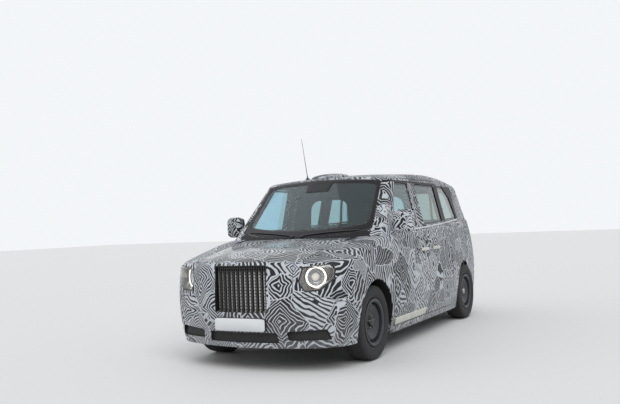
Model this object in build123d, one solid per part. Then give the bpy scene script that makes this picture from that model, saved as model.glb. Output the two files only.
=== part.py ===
from build123d import *
import math
import os

# Purpose-built taxi cab, millimetres. +X is forward, +Y is the cab's left, +Z is up.
# The origin is on the ground under the middle of the body, and all sizes are the real ones.

# Overall sizes and the places of the axles
LENGTH = 4857
HALF_WIDTH = 937
ROOF_Z = 1850
WHEELBASE = 2985
FRONT_OVERHANG = 900
NOSE_X = LENGTH / 2
TAIL_X = -LENGTH / 2
FRONT_AXLE_X = NOSE_X - FRONT_OVERHANG
REAR_AXLE_X = FRONT_AXLE_X - WHEELBASE
TYRE_R = 345
TYRE_WIDTH = 215
RIM_R = 216
HUB_Y = 797.5

# Walls and running gaps
WALL = 60
SKIN = 8
GAP = 6
PIN_CLEARANCE = 0.3
GLASS = 5

# Plan outlines of the lower body: height, nose x, half width, tail x, half width at the tail
SILL_Z = 180
LOWER_LEVELS = (
    (SILL_Z, NOSE_X - 52, HALF_WIDTH - 62, TAIL_X + 58, 765),
    (600, NOSE_X, HALF_WIDTH, TAIL_X, 800),
    (1000, NOSE_X - 36, HALF_WIDTH - 19, TAIL_X + 38, 785),
    (1340, NOSE_X - 98, HALF_WIDTH - 69, TAIL_X + 143, 735),
)
NOSE_BOW_R = 1700
NOSE_CORNER_R = 350
TAIL_CORNER_R = 300
TAIL_BOW_R = 6000
LOWER_TAPER_X = -900
TAPER_BEND_R = 5000

# Plan outlines of the greenhouse, in the same columns
SCREEN_FOOT_X = 1374
UPPER_LEVELS = (
    (1120, SCREEN_FOOT_X, 889, TAIL_X + 72, 765),
    (1480, SCREEN_FOOT_X - 360, 805, TAIL_X + 212, 692),
    (1860, SCREEN_FOOT_X - 740, 716, TAIL_X + 379, 625),
)
SCREEN_BOW_R = 2600
SCREEN_CORNER_R = 130
REAR_GLASS_CORNER_R = 260
REAR_GLASS_BOW_R = 6000
UPPER_TAPER_X = -700

# Bonnet and waist line: x, height at the shoulder, height on the centre line
SHOULDER_Y = 850
WAIST = (
    (2700, 760, 800),
    (NOSE_X, 855, 930),
    (2143, 932, 1035),
    (1750, 1032, 1098),
    (1254, 1130, 1160),
    (800, 1160, 1200),
)
WAIST_REAR = (-2700, 1305, 1345)
WAIST_STEPS = 7
WAIST_R = 70

# Roof: crowned across and along
ROOF_CROSS_R = 7000
ROOF_LONG_R = 10500
ROOF_PEAK_X = -600
ROOF_EDGE_R = 100

# Doors: x and z of their edges, with the front edge leaning back along the screen pillar
DOOR_FRONT_X = 1075
DOOR_SEAM_X = 40
DOOR_REAR_X = -830
DOOR_SILL_Z = 250
DOOR_TOP_Z = 1742
DOOR_LEAN_Z = 1199
DOOR_LEAN = 0.982
DOOR_CORNER_R = 45
SEAM_DRAFT = math.tan(math.radians(14))

# Heights at which the doors' edges follow the side of the body
SIDE_LEVELS = (190, 320, 450, 600, 800, 1000, 1120, DOOR_LEAN_Z, 1480, 1700)

# Windows: corners in x and z
WINDOW_TOP_Z = 1694
WINDOW_R = 35
FRONT_WINDOW = ((945, 1182), (165, 1211), (165, WINDOW_TOP_Z), (535, WINDOW_TOP_Z), (560, 1672))
REAR_WINDOW = ((-45, 1220), (-740, 1248), (-740, WINDOW_TOP_Z), (-45, WINDOW_TOP_Z))
QUARTER_WINDOW = ((-905, 1258), (-1545, 1282), (-1420, 1560), (-1180, WINDOW_TOP_Z), (-905, WINDOW_TOP_Z))
SIDE_GLASS_INSET = 10
SCREEN_INSET = 2

# Hinges of the doors: vertical pins near the outer skin
HINGE_NOSE_R = 14
HINGE_PIN_R = 3.5
HINGE_BARREL_R = 7.5
HINGE_HALF = 18
HINGE_END_GAP = 3
HINGE_NOTCH = 11
DOOR_HINGE_Z = (560, 840)
DOOR_AXIS_Y = HALF_WIDTH + 1 - HINGE_NOSE_R

# Wheel arches and wells
ARCH_R = 400
WELL_R = 412
LINER = 6
FRONT_WELL_Y = 440
REAR_WELL_Y = 640
KINGPIN_Y = 757

# Floor and front bulkhead
FLOOR_Z = 290
FLOOR_THICK = 50
NOSE_START = DOOR_FRONT_X + GAP - 3
BULKHEAD_X = DOOR_FRONT_X + GAP + 8
BULKHEAD_THICK = 18

# Bonnet, bumper and tailgate lines
BONNET_REAR = (1365, 600, 1447)
BONNET_FRONT = (2257, 560, 2352)
COWL_GAP = 12
COWL_Z = 1075
COWL_HALF = 652
BONNET_HINGE_Y = 540
BONNET_AXIS = (20, 16)
BUMPER_LINE = ((1500, 440), (1908, 520), (2255, 650), (2600, 650), (2600, 0), (1500, 0))
FASCIA_HALF = 500
NOSE_FLOOR_Z = 215
TAILGATE_HALF = 600
TAILGATE_Z = (560, 1722)
TAILGATE_R = 60
TAILGATE_NOSE_R = 10
TAILGATE_HINGE_Y = 160
REAR_GLASS = ((-545, 1285), (545, 1285), (500, 1655), (-500, 1655))

# Grille, intakes and lamps
GRILLE_HALF = 270
GRILLE_Z = (526, 934)
GRILLE_BARS = 21
INTAKE = ((-360, 262), (360, 262), (345, 352), (-345, 352))
CORNER_INTAKE = ((440, 284), (790, 284), (760, 378), (430, 360))
LAMP_X = 2210
LAMP_Y = 660
LAMP_Z = 818
LAMP_TURN = 35
LAMP_OUTLINE = ((-165, -32), (-112, -124), (20, -112), (150, -20), (168, 70), (110, 112), (-120, 92))
LAMP_RING_R = 94
LAMP_RING_WIDTH = 25
TAIL_LAMP = ((655, 965), (775, 965), (752, 1185), (655, 1185))

# Screen outline in its own raked plane: half widths and heights along the glass
SCREEN_ORIGIN = (1000, 1430)
SCREEN_RAKE = 1.018
SCREEN_LOW = (751, -294, -452)
SCREEN_HIGH = (671, 416, 408)
SCREEN_R = 45
WIPERS = (((-55, -426), (-635, -306)), ((60, -424), (625, -318)))
WIPER_WIDTH = 13
WIPER_DEPTH = 14

# Door mirrors
MIRROR_AT = (955, 1005, 1275)
MIRROR_SIZE = (122, 214, 226)
MIRROR_YAW = 22

# Roof sign and aerial
SIGN_X = 530
SIGN_SIZE = (105, 232, 46)
AERIAL_FOOT = (450, -330)
AERIAL_LENGTH = 475
AERIAL_LEAN = 7.5

# Wheels, hubs and steering
RIM_WIDTH = 178
BEAD_R = 205
HUB_R = 34
SPINDLE_R = 24
WHEEL_FACE_Y = 838
KINGPIN_R = 9
PILLAR_DEPTH = 20
SILL_Y = 824
SUBFRAME_Z = (212, 262)
KINGPIN_Z = (238, 452)
STEER_WHEEL_R = 190
STEER_WHEEL_AT = (640, 385, 1010)
STEER_TILT = 28

# Seats and partition
SEAT_Y = 385
PARTITION_X = -95
BENCH_X = -1560
JUMP_SEAT_Y = (-480, 0, 480)
JUMP_AXIS = (-170, 700)
JUMP_SEAT_WIDTH = 400
JUMP_PIN_R = 8

os.makedirs("parts", exist_ok=True)


def save(name, *shapes):
    """Writes one node from its solids."""
    solids = [s for shape in shapes for s in shape.solids()]
    export_step(Compound(children=solids), "parts/" + name + ".step")


def both(shape):
    """A shape and its mirror image across the centre plane."""
    return [shape, shape.mirror(Plane.XZ)]


def block(x0, x1, y0, y1, z0, z1):
    """A box between two corners."""
    return Pos((x0 + x1) / 2, (y0 + y1) / 2, (z0 + z1) / 2) * Box(x1 - x0, y1 - y0, z1 - z0)


def side_prism(points, radius, y0=500, y1=1200):
    """An outline in x and z with rounded corners, carried along Y."""
    face = make_face(Polyline(*[(x, -z) for x, z in points], close=True))
    face = Sketch() + face
    if radius:
        face = fillet(face.vertices(), radius)
    turned = Plane(origin=(0, y0, 0), x_dir=(1, 0, 0), z_dir=(0, 1, 0)) * face
    return extrude(turned, y1 - y0, dir=(0, 1, 0))


def end_prism(points, radius, x0, x1):
    """An outline in y and z with rounded corners, carried along X."""
    face = make_face(Polyline(*points, close=True))
    face = Sketch() + face
    if radius:
        face = fillet(face.vertices(), radius)
    turned = Plane(origin=(x0, 0, 0), x_dir=(0, 1, 0), z_dir=(1, 0, 0)) * face
    return extrude(turned, x1 - x0, dir=(1, 0, 0))


def tube_y(x, y, z, radius, length):
    """A cylinder along Y, centred."""
    return Pos(x, y, z) * Rot(90, 0, 0) * Cylinder(radius, length)


def plan_outline(level, inset, bow_r, corner_r, tail_r, tail_bow_r, taper_x):
    """One plan outline of the body: a bowed nose, tapered sides and a bowed tail, all inset alike."""
    z, nose_x, half, tail_x, tail_half = level
    nose_x -= inset
    half -= inset
    tail_x += inset
    tail_half -= inset
    nose_side_x = nose_x - (bow_r - math.sqrt(bow_r**2 - half**2))
    tail_side_x = tail_x + (tail_bow_r - math.sqrt(tail_bow_r**2 - tail_half**2))
    edges = [
        ThreePointArc((nose_side_x, -half), (nose_x, 0), (nose_side_x, half)),
        Line((nose_side_x, half), (taper_x, half)),
        Line((taper_x, half), (tail_side_x, tail_half)),
        ThreePointArc((tail_side_x, tail_half), (tail_x, 0), (tail_side_x, -tail_half)),
        Line((tail_side_x, -tail_half), (taper_x, -half)),
        Line((taper_x, -half), (nose_side_x, -half)),
    ]
    face = Sketch() + make_face(Wire(edges))
    for corner_x, radius in (
        (taper_x, TAPER_BEND_R),
        (nose_side_x, corner_r - 0.9 * inset),
        (tail_side_x, tail_r - 0.9 * inset),
    ):
        corners = [v for v in face.vertices() if abs(v.X - corner_x) < 1]
        face = fillet(corners, radius)
    return Pos(0, 0, z) * face


def waist_solid(inset):
    """Everything under the bonnet and the waist line, as one loft of crowned sections."""
    rows = list(WAIST)
    for step in range(1, WAIST_STEPS + 1):
        share = step / WAIST_STEPS
        rows.append([a + (b - a) * share for a, b in zip(WAIST[-1], WAIST_REAR)])
    faces = []
    for x, shoulder_z, centre_z in rows:
        top = centre_z - inset
        reach = 1100
        edge_z = top - (centre_z - shoulder_z) * (reach / SHOULDER_Y) ** 2
        wire = Wire(
            [
                Line((-reach, 0), (reach, 0)),
                Line((reach, 0), (reach, edge_z)),
                ThreePointArc((reach, edge_z), (0, top), (-reach, edge_z)),
                Line((-reach, edge_z), (-reach, 0)),
            ]
        )
        plane = Plane(origin=(x, 0, 0), x_dir=(0, 1, 0), z_dir=(1, 0, 0))
        faces.append(plane * make_face(wire))
    return loft(faces)


def roof_solid(inset):
    """Everything under the roof's crown, turned about a far axis below."""
    top = ROOF_Z - inset
    reach = 1150
    edge_z = top - ROOF_CROSS_R + math.sqrt(ROOF_CROSS_R**2 - reach**2)
    wire = Wire(
        [
            Line((-reach, 800), (reach, 800)),
            Line((reach, 800), (reach, edge_z)),
            ThreePointArc((reach, edge_z), (0, top), (-reach, edge_z)),
            Line((-reach, edge_z), (-reach, 800)),
        ]
    )
    plane = Plane(origin=(ROOF_PEAK_X, 0, 0), x_dir=(0, 1, 0), z_dir=(1, 0, 0))
    axis = Axis((ROOF_PEAK_X, 0, top - ROOF_LONG_R), (0, 1, 0))
    swing = 16
    return revolve((plane * make_face(wire)).rotate(axis, -swing), axis, 2 * swing)


CACHE = {}


def lower_body(inset):
    """The lower body, inset from its outer skin."""
    if ("lower", inset) not in CACHE:
        faces = [
            plan_outline(
                level, inset, NOSE_BOW_R, NOSE_CORNER_R, TAIL_CORNER_R, TAIL_BOW_R, LOWER_TAPER_X
            )
            for level in LOWER_LEVELS
        ]
        solid = loft(faces) & waist_solid(inset)
        top_face = solid.faces().sort_by(Axis.Z)[-1]
        CACHE["lower", inset] = fillet(top_face.outer_wire().edges(), WAIST_R - 0.9 * min(inset, WALL))
    return CACHE["lower", inset]


def greenhouse(inset):
    """The greenhouse and roof, inset from the outer skin."""
    if ("upper", inset) not in CACHE:
        faces = [
            plan_outline(
                level,
                inset,
                SCREEN_BOW_R,
                SCREEN_CORNER_R,
                REAR_GLASS_CORNER_R,
                REAR_GLASS_BOW_R,
                UPPER_TAPER_X,
            )
            for level in UPPER_LEVELS
        ]
        solid = loft(faces) & roof_solid(inset)
        rim = [e for e in solid.edges() if e.center().Z > 1640]
        CACHE["upper", inset] = fillet(rim, ROOF_EDGE_R - 0.9 * inset)
    return CACHE["upper", inset]


def first_hit(shape, start, end):
    """Where a ray first meets a solid."""
    inside = Edge.make_line(start, end) & shape
    points = [v for v in inside.vertices()]
    origin = Vector(*start)
    return min(((Vector(v.X, v.Y, v.Z) - origin).length, v.X, v.Y, v.Z) for v in points)[1:]


def interpolate(table, z):
    """Straight-line value of a table at a height."""
    for (z0, v0), (z1, v1) in zip(table, table[1:]):
        if z <= z1:
            break
    return v0 + (v1 - v0) * (z - z0) / (z1 - z0)


# Envelope solids used more than once
OUTER = lower_body(0) + greenhouse(0)
SKIN_VOID = lower_body(SKIN)

# Left halves, which are mirrored and joined once they are cut
HALF = block(-3000, 3000, 0, 1200, 0, 2600)
OUTER_HALF = OUTER & HALF
CABIN_HALF = (lower_body(WALL) & block(-2600, BULKHEAD_X, 0, 1100, 0, 1500)) + (greenhouse(WALL) & HALF)

# Side of the body at the seam: height and half width
SIDE_LINE = [(z, first_hit(OUTER, (DOOR_SEAM_X, 1500, z), (DOOR_SEAM_X, 0, z))[1]) for z in SIDE_LEVELS]


def door_edge_x(z):
    """Front edge of the front door, leaning back above the waist."""
    return DOOR_FRONT_X - DOOR_LEAN * max(0, z - DOOR_LEAN_Z)


def door_cutter(hinge_x, seam_x, grow):
    """A door's block: square at the hinge, drafted along the seam, sill and head to be larger outside."""
    side = 1 if seam_x < hinge_x(0) else -1
    near, far = 450, 1150
    sections = []
    for z in (100,) + SIDE_LEVELS[1:-1] + (1860,):
        skin_y = interpolate(SIDE_LINE, z)
        hinge = hinge_x(z) + side * grow
        seam_far = seam_x - side * (grow + SEAM_DRAFT * (far - skin_y))
        seam_near = seam_x - side * (grow - SEAM_DRAFT * (skin_y - near))
        points = [(hinge, near), (hinge, far), (seam_far, far), (seam_near, near)]
        sections.append(Pos(0, 0, z) * make_face(Polyline(*points, close=True)))
    column = loft(sections, ruled=True)
    heights = []
    for y in (near, far):
        low = DOOR_SILL_Z - grow - SEAM_DRAFT * (y - interpolate(SIDE_LINE, DOOR_SILL_Z))
        high = DOOR_TOP_Z + grow + SEAM_DRAFT * (y - interpolate(SIDE_LINE, DOOR_TOP_Z))
        heights += [(y, low), (y, high)]
    outline = [heights[0], heights[2], heights[3], heights[1]]
    solid = column & end_prism(outline, 0, -1500, 1500)
    across = [e for e in solid.edges() if abs(abs((e @ 1).Y - (e @ 0).Y) - (far - near)) < 1]
    ends = [e for e in across if e.center().Z < 450 or e.center().Z > 1600]
    return fillet(ends, DOOR_CORNER_R + grow)


def lean_front(z):
    return door_edge_x(z)


def straight_rear(z):
    return DOOR_REAR_X


DOORS = {
    "front": (lean_front, DOOR_SEAM_X + GAP / 2, DOOR_FRONT_X - HINGE_NOSE_R, 1),
    "rear": (straight_rear, DOOR_SEAM_X - GAP / 2, DOOR_REAR_X + HINGE_NOSE_R, -1),
}


def hinge_notches(axis_x, side):
    """Room round each hinge barrel at the door's leading edge."""
    reach = HINGE_HALF + HINGE_END_GAP
    x0, x1 = sorted((axis_x - side * HINGE_NOTCH, axis_x + side * 60))
    return [block(x0, x1, DOOR_AXIS_Y - HINGE_NOTCH, 1100, z - reach, z + reach) for z in DOOR_HINGE_Z]


def hinge_pins(axis_x):
    """Pins on the door, across its notches."""
    reach = HINGE_HALF + HINGE_END_GAP + 2
    return [Pos(axis_x, DOOR_AXIS_Y, z) * Cylinder(HINGE_PIN_R, 2 * reach) for z in DOOR_HINGE_Z]


def hinge_leaves(axis_x, side):
    """Barrels and arms on the body, which reach under the skin to the pillar."""
    leaves = []
    for z in DOOR_HINGE_Z:
        barrel = Pos(axis_x, DOOR_AXIS_Y, z) * Cylinder(HINGE_BARREL_R, 2 * HINGE_HALF)
        x0, x1 = sorted((axis_x, axis_x + side * (HINGE_NOSE_R + GAP + BULKHEAD_THICK / 2)))
        arm = block(x0, x1, DOOR_AXIS_Y - 9, DOOR_AXIS_Y - 5, z - HINGE_HALF, z + HINGE_HALF)
        bore = Pos(axis_x, DOOR_AXIS_Y, z) * Cylinder(HINGE_PIN_R + PIN_CLEARANCE, 100)
        leaves.append(barrel + arm - bore)
    return leaves


def round_nose(axis_x, side):
    """What is cut away outside the round leading corner of a door."""
    x0, x1 = sorted((axis_x, axis_x + side * 60))
    corner = block(x0, x1, DOOR_AXIS_Y, 1200, 100, 1900)
    return corner - Pos(axis_x, DOOR_AXIS_Y, 1000) * Cylinder(HINGE_NOSE_R, 2200)


def whole(half):
    """A left half joined to its mirror image."""
    return half + half.mirror(Plane.XZ)


SCREEN_PLANE = Plane(
    origin=(SCREEN_ORIGIN[0], 0, SCREEN_ORIGIN[1]), x_dir=(0, 1, 0), z_dir=(SCREEN_RAKE, 0, 1)
)


def screen_prism():
    """The screen's aperture, square to its rake."""
    low_half, low, low_centre = SCREEN_LOW
    high_half, high, high_centre = SCREEN_HIGH
    wire = Wire(
        [
            ThreePointArc((-low_half, low), (0, low_centre), (low_half, low)),
            Line((low_half, low), (high_half, high)),
            ThreePointArc((high_half, high), (0, high_centre), (-high_half, high)),
            Line((-high_half, high), (-low_half, low)),
        ]
    )
    face = Sketch() + make_face(wire)
    face = fillet(face.vertices(), SCREEN_R)
    return extrude(SCREEN_PLANE * face, 260, dir=(SCREEN_RAKE, 0, 1), both=True)


def bonnet_prism(grow):
    """The bonnet's outline from above: bowed ends and straight sides."""
    rear_x, rear_half, rear_mid = BONNET_REAR
    front_x, front_half, front_mid = BONNET_FRONT
    back = COWL_GAP if grow else 0
    wire = Wire(
        [
            ThreePointArc(
                (rear_x - back, rear_half + grow), (rear_mid - back, 0), (rear_x - back, -rear_half - grow)
            ),
            Line((rear_x - back, -rear_half - grow), (front_x + grow, -front_half - grow)),
            ThreePointArc(
                (front_x + grow, -front_half - grow), (front_mid + grow, 0), (front_x + grow, front_half + grow)
            ),
            Line((front_x + grow, front_half + grow), (rear_x - back, rear_half + grow)),
        ]
    )
    return extrude(Pos(0, 0, 880) * make_face(wire), 400)


SCREEN_CUT = screen_prism()
WINDOW_CUTS = {
    name: side_prism(points, WINDOW_R)
    for name, points in (("front", FRONT_WINDOW), ("rear", REAR_WINDOW), ("quarter", QUARTER_WINDOW))
}
REAR_GLASS_CUT = end_prism(REAR_GLASS, WINDOW_R + 20, -2500, -1900)
TAILGATE_CUT = {
    grow: end_prism(
        [
            (-TAILGATE_HALF - grow, TAILGATE_Z[0] - grow),
            (TAILGATE_HALF + grow, TAILGATE_Z[0] - grow),
            (TAILGATE_HALF + grow, TAILGATE_Z[1] + grow),
            (-TAILGATE_HALF - grow, TAILGATE_Z[1] + grow),
        ],
        TAILGATE_R + grow,
        -2600,
        -1850,
    )
    for grow in (0, GAP)
}


TAILGATE_AXIS_Z = TAILGATE_Z[1] - TAILGATE_NOSE_R
TAIL_SKIN_X = first_hit(OUTER, (-3000, 0, TAILGATE_AXIS_Z), (-1500, 0, TAILGATE_AXIS_Z))[0]
TAILGATE_AXIS_X = TAIL_SKIN_X + TAILGATE_NOSE_R + 1
BONNET_AXIS_X = BONNET_REAR[0] + BONNET_AXIS[0]
BONNET_AXIS_Z = (
    first_hit(OUTER, (BONNET_REAR[0], BONNET_REAR[1], 2500), (BONNET_REAR[0], BONNET_REAR[1], 500))[2]
    - BONNET_AXIS[1]
)
ROOF_SIGN_Z = first_hit(OUTER, (SIGN_X, 0, 2500), (SIGN_X, 0, 500))[2]
print("tailgate axis", round(TAILGATE_AXIS_X, 2), TAILGATE_AXIS_Z)
print("bonnet axis", BONNET_AXIS_X, round(BONNET_AXIS_Z, 2), "sign", round(ROOF_SIGN_Z, 1))


TAIL_LAMP_BODY = (end_prism(TAIL_LAMP, 18, -2600, -2000) & OUTER_HALF) - SKIN_VOID

# Cabin walls, from which doors and tailgate are cut, and the thin sheet of the nose
WALLS = OUTER_HALF - CABIN_HALF - block(BULKHEAD_X, 3000, 0, 1100, 0, COWL_Z)
NOSE_BLOCK = lower_body(0) & block(NOSE_START, 3000, 0, 1100, 0, 1500)
NOSE_SHEET = NOSE_BLOCK - [SKIN_VOID, greenhouse(0)]


def glass_band(inset):
    """The greenhouse's skin at glass thickness, this far below its outside, on the left."""
    return (greenhouse(inset) & HALF) - greenhouse(inset + GLASS)


def make_doors():
    """Both left doors from the walls, with their glass, then their mirror images."""
    band = glass_band(SIDE_GLASS_INSET)
    for name, (hinge_x, seam_x, axis_x, side) in DOORS.items():
        door = WALLS & door_cutter(hinge_x, seam_x, 0)
        door -= [WINDOW_CUTS[name], round_nose(axis_x, side)] + hinge_notches(axis_x, side)
        door += hinge_pins(axis_x) + [handle(name)]
        save("door_" + name + "_left", door)
        save("door_" + name + "_right", door.mirror(Plane.XZ))
        glass = band & WINDOW_CUTS[name]
        save("door_" + name + "_glass_left", glass)
        save("door_" + name + "_glass_right", glass.mirror(Plane.XZ))


HANDLES = {"front": (75, 330), "rear": (-305, -50)}
HANDLE_Z = 962


def handle(name):
    """A pull bar on two feet, standing off the skin."""
    x0, x1 = HANDLES[name]
    skin = interpolate(SIDE_LINE, HANDLE_Z)
    bar = block(x0, x1, skin + 22, skin + 36, HANDLE_Z - 15, HANDLE_Z + 15)
    bar = fillet(bar.edges().filter_by(Axis.X), 6)
    for x in (x0 + 14, x1 - 14):
        bar += block(x - 11, x + 11, skin - 12, skin + 26, HANDLE_Z - 10, HANDLE_Z + 10)
    return bar


def make_tailgate():
    """The tailgate with a round top edge, and its glass."""
    gate = WALLS & TAILGATE_CUT[0]
    corner = block(-2600, TAILGATE_AXIS_X, -1000, 1000, TAILGATE_AXIS_Z, 2000)
    corner -= tube_y(TAILGATE_AXIS_X, 0, TAILGATE_AXIS_Z, TAILGATE_NOSE_R, 2200)
    y = TAILGATE_HINGE_Y
    notch = block(-2600, TAILGATE_AXIS_X + 11, y - 21, y + 21, TAILGATE_AXIS_Z - 11, 2000)
    gate -= [REAR_GLASS_CUT, corner, notch]
    gate += tube_y(TAILGATE_AXIS_X, y, TAILGATE_AXIS_Z, HINGE_PIN_R, 46)
    save("tailgate", whole(gate))
    save("tailgate_glass", whole(glass_band(SKIN) & REAR_GLASS_CUT))


def tailgate_leaf():
    """A hinge barrel under the roof's rear edge."""
    y = TAILGATE_HINGE_Y
    barrel = tube_y(TAILGATE_AXIS_X, y, TAILGATE_AXIS_Z, HINGE_BARREL_R, 2 * HINGE_HALF)
    arm = block(
        TAILGATE_AXIS_X, TAILGATE_AXIS_X + HINGE_BARREL_R, y - HINGE_HALF, y + HINGE_HALF,
        TAILGATE_AXIS_Z, TAILGATE_AXIS_Z + HINGE_NOSE_R + GAP + 6,
    )
    return barrel + arm - tube_y(TAILGATE_AXIS_X, y, TAILGATE_AXIS_Z, HINGE_PIN_R + PIN_CLEARANCE, 100)


def arch_cylinder(x, radius, y0, y1):
    """A wheel arch's cylinder on the left."""
    return tube_y(x, (y0 + y1) / 2, TYRE_R, radius, y1 - y0)


def make_shell():
    """Sills, pillars, roof, rear quarters, cowl, bulkhead and hinge pillars in one shell."""
    front = block(BULKHEAD_X + BULKHEAD_THICK, 3000, -10, 1100, 0, 1500)
    cowl = block(1000, BONNET_REAR[2] + 40, -20, COWL_HALF, COWL_Z, 1500) - bonnet_prism(GAP)
    front -= [cowl, greenhouse(0)]
    tail = block(-2600, -1880, -10, 1100, 0, TAILGATE_Z[0] - GAP)
    cuts = [CABIN_HALF, front, NOSE_SHEET, SCREEN_CUT, TAILGATE_CUT[GAP], tail, TAIL_LAMP_BODY]
    cuts += [WINDOW_CUTS["quarter"], arch_cylinder(REAR_AXLE_X, ARCH_R, 600, 1100)]
    pillar = SKIN_VOID & block(
        BULKHEAD_X + 2, BULKHEAD_X + PILLAR_DEPTH, 800, DOOR_AXIS_Y - 24, NOSE_FLOOR_Z, COWL_Z - 5
    )
    ends = (REAR_AXLE_X + ARCH_R + 20, BULKHEAD_X + 5)
    sill = lower_body(WALL) & block(*ends, SILL_Y - 90, 1100, 190, DOOR_SILL_Z - 2 * GAP)
    sill += block(*ends, SILL_Y - 90, SILL_Y, 190, FLOOR_Z)
    additions = [pillar, sill, seam_post(), tailgate_leaf(), bonnet_leaf()]
    for name, (hinge_x, seam_x, axis_x, side) in DOORS.items():
        cuts.append(door_cutter(hinge_x, seam_x, GAP))
        additions += hinge_leaves(axis_x, side)
    shell = OUTER_HALF
    for cut in cuts:
        shell -= cut
    save("body_shell", whole(shell + additions))


def bonnet_leaf():
    """A bonnet hinge's barrel, on an arm from the cowl."""
    y = BONNET_HINGE_Y
    barrel = tube_y(BONNET_AXIS_X, y, BONNET_AXIS_Z, 6, 30)
    arm = block(BONNET_AXIS_X - 45, BONNET_AXIS_X, y - 15, y + 15, BONNET_AXIS_Z - 6, BONNET_AXIS_Z)
    return barrel + arm - tube_y(BONNET_AXIS_X, y, BONNET_AXIS_Z, 2.5 + PIN_CLEARANCE, 60)


def seam_post():
    """The post inside the seam between the doors, from the sill to the roof rail."""
    outer = [(828, FLOOR_Z - 20), (866, 600), (847, 1000), (812, 1118), (735, 1480), (667, 1772)]
    inner = [(y - 42, z) for y, z in reversed(outer)]
    return end_prism(outer + inner, 0, DOOR_SEAM_X - 45, DOOR_SEAM_X + 45)


def lamp_prism(grow):
    """The headlamp's drop-shaped outline, carried along a line that faces the corner."""
    turn = math.radians(LAMP_TURN)
    plane = Plane(
        origin=(LAMP_X, LAMP_Y, LAMP_Z),
        x_dir=(-math.sin(turn), math.cos(turn), 0),
        z_dir=(math.cos(turn), math.sin(turn), 0),
    )
    face = Sketch() + make_face(Polyline(*LAMP_OUTLINE, close=True))
    face = fillet(face.vertices(), 26)
    if grow:
        face = offset(face, grow)
    return plane, face


def nose_skin():
    """The thin skin ahead of the doors on the left, open below."""
    under = block(1000, 3000, -10, 1200, 0, NOSE_FLOOR_Z)
    cowl = block(1000, BONNET_REAR[2] + 40, -20, COWL_HALF + 6, COWL_Z, 1500) - bonnet_prism(0)
    return NOSE_SHEET - [under, cowl]


def make_bonnet(skin):
    """The bonnet, with its pins between cheeks under the rear edge."""
    bonnet = skin & bonnet_prism(0)
    y = BONNET_HINGE_Y
    for side in (-1, 1):
        cheek = block(
            BONNET_AXIS_X - 5, BONNET_AXIS_X + 50, y + side * 19.5 - 2, y + side * 19.5 + 2,
            BONNET_AXIS_Z - 5, BONNET_AXIS_Z + 40,
        )
        bonnet += cheek & SKIN_VOID
    bonnet += tube_y(BONNET_AXIS_X, y, BONNET_AXIS_Z, 2.5, 42)
    save("bonnet", whole(bonnet))


def make_headlamps():
    """Lens, bowl and ring; returns the opening for the lamp."""
    plane, face = lamp_prism(0)
    _, wide = lamp_prism(1)
    away, inward = plane.z_dir, -plane.z_dir
    lens = (NOSE_BLOCK & extrude(plane * face, 320, dir=away, both=True)) - SKIN_VOID
    lens &= block(1900, 3000, 300, 1100, 500, 1100)
    save("headlamp_lenses", *both(lens))
    rim = plane * offset(face, -14)
    inner = plane * offset(face, -20)
    bowl = SKIN_VOID & (extrude(rim, 100, dir=inward) + extrude(rim, 300, dir=away))
    bowl -= extrude(inner, 60, dir=inward) + extrude(inner, 300, dir=away)
    low = (Align.CENTER, Align.CENTER, Align.MIN)
    ring = plane * (Pos(0, 0, -62) * Cylinder(LAMP_RING_R, 62, align=low))
    ring -= plane * (Pos(0, 0, -40) * Cylinder(LAMP_RING_R - LAMP_RING_WIDTH, 60, align=low))
    save("headlamp_housings", *both(bowl + ring))
    return extrude(plane * wide, 320, dir=away, both=True)


def fascia_region(grow):
    """Everything ahead of the wing seam: the bumper and the panel round the grille."""
    line = [(x, z + grow if z > 500 else z) for x, z in BUMPER_LINE]
    panel = block(2100, 2700, -20, FASCIA_HALF + grow, 600, 1200)
    return side_prism(line, 0, -20, 1200) + panel


def make_nose():
    """Bonnet, wings and bumper from the nose's skin, and the lamps in it."""
    skin = nose_skin()
    make_bonnet(skin)
    lamp_opening = make_headlamps()
    skin -= [bonnet_prism(GAP), lamp_opening, arch_cylinder(FRONT_AXLE_X, ARCH_R, 300, 1100)]
    hinge_x, seam_x, _, _ = DOORS["front"]
    save("front_wings", *both(skin - [fascia_region(4), door_cutter(hinge_x, seam_x, GAP)]))
    z0, z1 = GRILLE_Z
    grille = end_prism([(-GRILLE_HALF, z0), (GRILLE_HALF, z0), (GRILLE_HALF, z1), (-GRILLE_HALF, z1)], 18, 2200, 2700)
    intakes = [end_prism(INTAKE, 15, 2200, 2700), end_prism(CORNER_INTAKE, 15, 2100, 2700)]
    save("front_bumper", whole((skin & fascia_region(0)) - [grille] - intakes))


def make_grille():
    """A frame with upright bars and fine cross bars behind them."""
    z0, z1 = GRILLE_Z
    face_x = NOSE_X - SKIN - 8
    frame = end_prism([(-GRILLE_HALF, z0), (GRILLE_HALF, z0), (GRILLE_HALF, z1), (-GRILLE_HALF, z1)], 18, face_x - 60, face_x - 20)
    frame -= end_prism(
        [(-GRILLE_HALF + 8, z0 + 8), (GRILLE_HALF - 8, z0 + 8), (GRILLE_HALF - 8, z1 - 8), (-GRILLE_HALF + 8, z1 - 8)],
        12, face_x - 70, face_x,
    )
    pitch = 2 * (GRILLE_HALF - 8) / (GRILLE_BARS + 1)
    for i in range(GRILLE_BARS):
        y = -GRILLE_HALF + 8 + pitch * (i + 1)
        frame += block(face_x - 55, face_x - 18 - y * y / 3400, y - 4, y + 4, z0 + 6, z1 - 6)
    rows = 11
    for i in range(rows):
        z = z0 + 8 + (z1 - z0 - 16) * (i + 1) / (rows + 1)
        frame += block(face_x - 58, face_x - 50, -GRILLE_HALF + 6, GRILLE_HALF - 6, z - 2.5, z + 2.5)
    save("grille", frame)


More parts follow.
